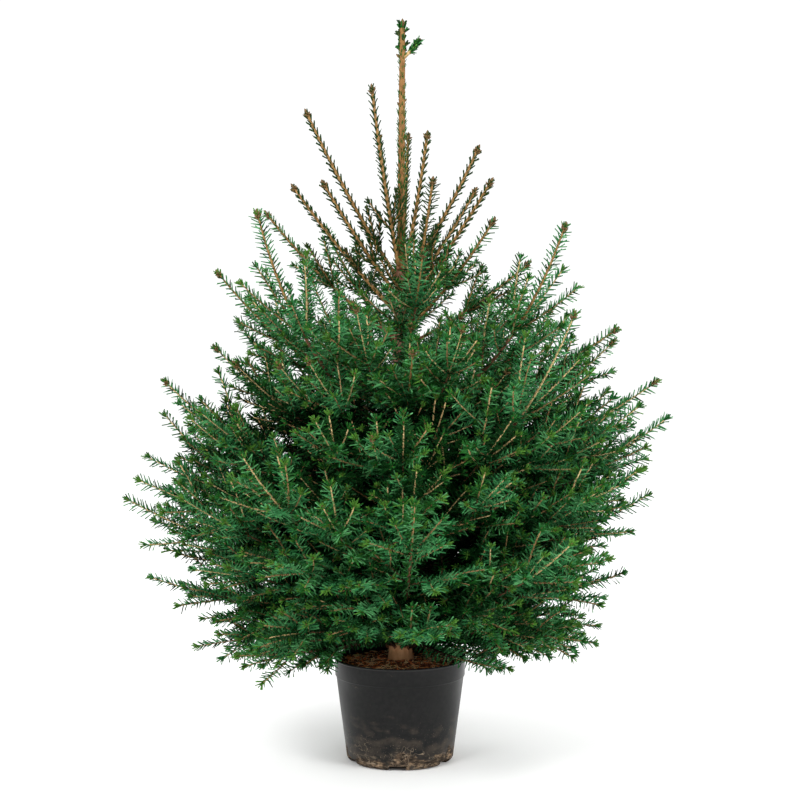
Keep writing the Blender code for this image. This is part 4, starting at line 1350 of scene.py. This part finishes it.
def relief_tube(name, heights, sides, relief):
    """Upright tube whose radius is the trunk's with a relief on it."""
    verts = []
    for height in heights:
        centre = trunk_centre(height)
        radius = trunk_radius(height)
        fade = max(0.0, 1.0 - (height - TRUNK_FOOT) / FLARE_HEIGHT)
        for side in range(sides):
            angle = 2 * math.pi * side / sides
            swell = radius * (1.0 + FLARE * fade * math.cos(3 * angle + 0.6))
            swell += relief(height, angle, radius)
            verts.append(centre + swell * np.array((math.cos(angle), math.sin(angle), 0.0)))
    return mesh_object(name, np.array(verts), tube_faces(len(heights), sides), True)


WHORL_HEIGHTS = [sum(row[0] for row in rows) / len(rows) for _, _, rows in WHORLS]


def bark_relief(height, angle, radius):
    """Flaking plates, fine cracks and a swelling at each whorl."""
    place = Vector((math.cos(angle) * radius, math.sin(angle) * radius, height * 0.45))
    plates = noise.voronoi(place * 150.0)[0]
    crack = min(1.0, (plates[1] - plates[0]) * 2.2)
    flakes = noise.fractal(place * 320.0, 0.7, 2.0, 3)
    knots = sum(math.exp(-((height - node) / 0.010) ** 2) for node in WHORL_HEIGHTS)
    rough = min(1.0, max(0.25, (height - 0.22) / 0.08))
    return rough * (0.0007 * crack - 0.0006 + 0.00035 * flakes) + 0.0012 * knots


def leader_relief(height, angle, radius):
    """Fine ribs that run down from the needles' pegs, and a stout tip."""
    ribs = math.cos(9 * angle + 130.0 * height)
    grain = noise.noise((math.cos(angle) * 4, math.sin(angle) * 4, height * 260))
    return 0.0008 + 0.00022 * ribs + 0.00018 * grain


def make_trunk(materials):
    heights = np.concatenate((np.linspace(TRUNK_FOOT, 0.30, 50),
                              np.linspace(0.303, LEADER_FOOT + 0.01, 230)))
    trunk = relief_tube("trunk_bark", heights, 48, bark_relief)
    dress(trunk, materials["bark"], "bark", ("trunk",))
    heights = np.linspace(LEADER_FOOT, LEADER_END, 220)
    leader = relief_tube("leader", heights, 18, leader_relief)
    dress(leader, materials["leader"], "bark", ("trunk",))


def leader_needles(piles, rows, width, draw):
    """Needles pressed against the leader, row by row of a table."""
    for heights, count, leans, lengths, kind in rows:
        levels = draw.uniform(*heights, count)
        centres = np.array([trunk_centre(level) for level in levels])
        radii = np.array([trunk_radius(level) for level in levels])
        angles = draw.uniform(0, 2 * math.pi, count)
        radial = np.stack((np.cos(angles), np.sin(angles), np.zeros(count)), axis=1)
        directions = turned(UP, radial, np.radians(draw.uniform(*leans, count)))
        roots = centres + radial * (radii * 0.85)[:, None]
        plant_needles(piles, kind, roots, directions, draw.uniform(*lengths, count), width, draw)


def dress_leader(needles, wood):
    """End bud, side buds, the short spur and the sparse needles of the leader."""
    draw = np.random.default_rng(SEED + 9)
    top = trunk_centre(END_BUD_FOOT)
    wood["buds"].add(*bud(top, UP + np.array((0.001, 0.0, 0.0)), TREE_TOP - END_BUD_FOOT - 0.003,
                          END_BUD_WIDTH, 10))
    leader_needles(needles, TIP_SCALES, SCALE_WIDTH, draw)
    for height, bearing, size, green in LEADER_BUDS:
        out = outward(bearing)
        root = trunk_centre(height) + out * trunk_radius(height) * 0.8
        direction = unit(out + 0.9 * UP)
        wood["buds"].add(*bud(root, direction, size, 0.55 * size))
        if green:
            axes = np.tile(direction, (green, 1))
            radial = around(axes, np.linspace(0, 2 * np.pi, green, endpoint=False))
            directions = units(axes + radial * draw.uniform(0.2, 0.7, green)[:, None])
            kinds = draw.choice(("mid", "shade", "top"), green)
            plant_needles(needles, kinds, np.tile(root, (green, 1)), directions,
                          draw.uniform(0.010, 0.014, green), SCALE_WIDTH, draw)
    leader_needles(needles, LEADER_HAIRS, HAIR_WIDTH, draw)
    spur_tuft(needles, draw)


def spur_path():
    """Axis of the short side shoot high on the leader."""
    out = outward(SPUR_BEARING)
    start = trunk_centre(SPUR_HEIGHT) + out * trunk_radius(SPUR_HEIGHT) * 0.6
    rise = math.radians(SPUR_RISE)
    end = start + SPUR_LENGTH * (math.cos(rise) * out + math.sin(rise) * UP)
    return bent_line(start, rise, math.radians(6.0), end, 9)


def spur_tuft(piles, draw):
    """Dense scales and needles all round the outer part of the spur."""
    count = SPUR_NEEDLES
    distances = draw.uniform(SPUR_BARE, SPUR_LENGTH, count)
    places, axes = points_at(spur_path(), distances)
    radial = around(axes, draw.uniform(0, 2 * np.pi, count))
    directions = turned(axes, radial, np.radians(draw.uniform(14, 34, count)))
    lengths = draw.uniform(0.008, 0.012, count) * np.where(distances > 0.038, 0.6, 1.0)
    kinds = draw.choice(("mid", "fresh", "shade"), count, p=(0.35, 0.25, 0.40))
    plant_needles(piles, kinds, places + radial * 0.0022, directions, lengths,
                  0.75 * SCALE_WIDTH, draw)


# Stage, lights and camera

def make_stage():
    bpy.ops.mesh.primitive_plane_add(size=STAGE_SIZE, location=(0.0, 0.0, -0.0004))
    floor = bpy.context.active_object
    floor.name = "floor"
    material, tree, shader = principled("floor_white")
    distance = add_node(tree, "ShaderNodeVectorMath", "Value", {0: own_place(tree)}, 'LENGTH')
    set_inputs(tree, shader, {
        "Base Color": STAGE_WHITE, "Roughness": 0.9, "Emission Color": (1.0, 1.0, 1.0, 1.0),
        "Emission Strength": add_range(tree, distance, GLOW_RANGE, (0.0, STAGE_GLOW))})
    floor.data.materials.append(material)


def add_aimed(name, data, place, aim):
    """Lamp or camera at one place that looks at another."""
    item = add_object(name, data)
    item.location = place
    item.rotation_euler = (Vector(aim) - Vector(place)).to_track_quat('-Z', 'Y').to_euler()
    return item


def make_lights():
    world = bpy.data.worlds.new("studio")
    bpy.context.scene.world = world
    world.use_nodes = True
    tree = world.node_tree
    seen = add_node(tree, "ShaderNodeLightPath", "Is Camera Ray", {})
    set_inputs(tree, tree.nodes["Background"], {
        "Color": (1.0, 1.0, 1.0, 1.0),
        "Strength": add_range(tree, seen, (0.0, 1.0), (AMBIENT, BACKDROP))})
    for name, place, aim, size, power in LIGHTS:
        data = bpy.data.lights.new(name, 'AREA')
        data.shape = 'DISK'
        data.size = size
        data.energy = power
        add_aimed(name, data, place, (0.0, 0.0, aim))


def make_camera():
    scene = bpy.context.scene
    scene.camera = add_aimed("camera", bpy.data.cameras.new("camera"), CAMERA_PLACE, CAMERA_AIM)
    scene.camera.data.lens = CAMERA_LENS
    scene.camera.data.clip_end = 60.0
    scene.view_settings.view_transform = 'Standard'


def make_plant(materials):
    masses = sorted(name for name in frame["nodes"] if name.startswith("foliage_"))
    limbs = sorted(name for name in frame["nodes"] if name.startswith("bough_"))
    needles = {kind: NeedlePile(f"needles_{kind}", "needles", materials[kind])
               for kind in NEEDLE_TONES}
    wood = {kind: Pile(kind, "bark", materials[kind]) for kind in WOODS}
    spur = Shoot(spur_path(), 3, 2, 0.0038, 0.0030, SPUR_BARE, 0.0, 1, SEED)
    for shoot in grow_crown() + [spur]:
        add_wood(wood, shoot)
        add_buds(wood, shoot)
        needle_spray(needles, shoot)
        tip_tuft(needles, shoot)
    dress_leader(needles, wood)
    for kind, pile in needles.items():
        pile.make(False, masses + (["leader_spur"] if kind == "top" else []))
    for kind, pile in wood.items():
        pile.make(True, limbs if kind.startswith("limbs") else masses)


def make_litter(materials):
    piles = {kind: Pile(kind, "compost", materials[kind]) for kind in LITTER_SHARES}
    draw = random.Random(SEED + 5)
    scatter_chips(piles, draw)
    scatter_fibres(piles, draw)
    for pile in piles.values():
        pile.make(False)


def main():
    make_camera()
    materials = make_materials()
    make_pot(materials["pot"])
    make_compost(materials["compost"])
    make_litter(materials)
    make_trunk(materials)
    make_plant(materials)
    make_stage()
    make_lights()


main()
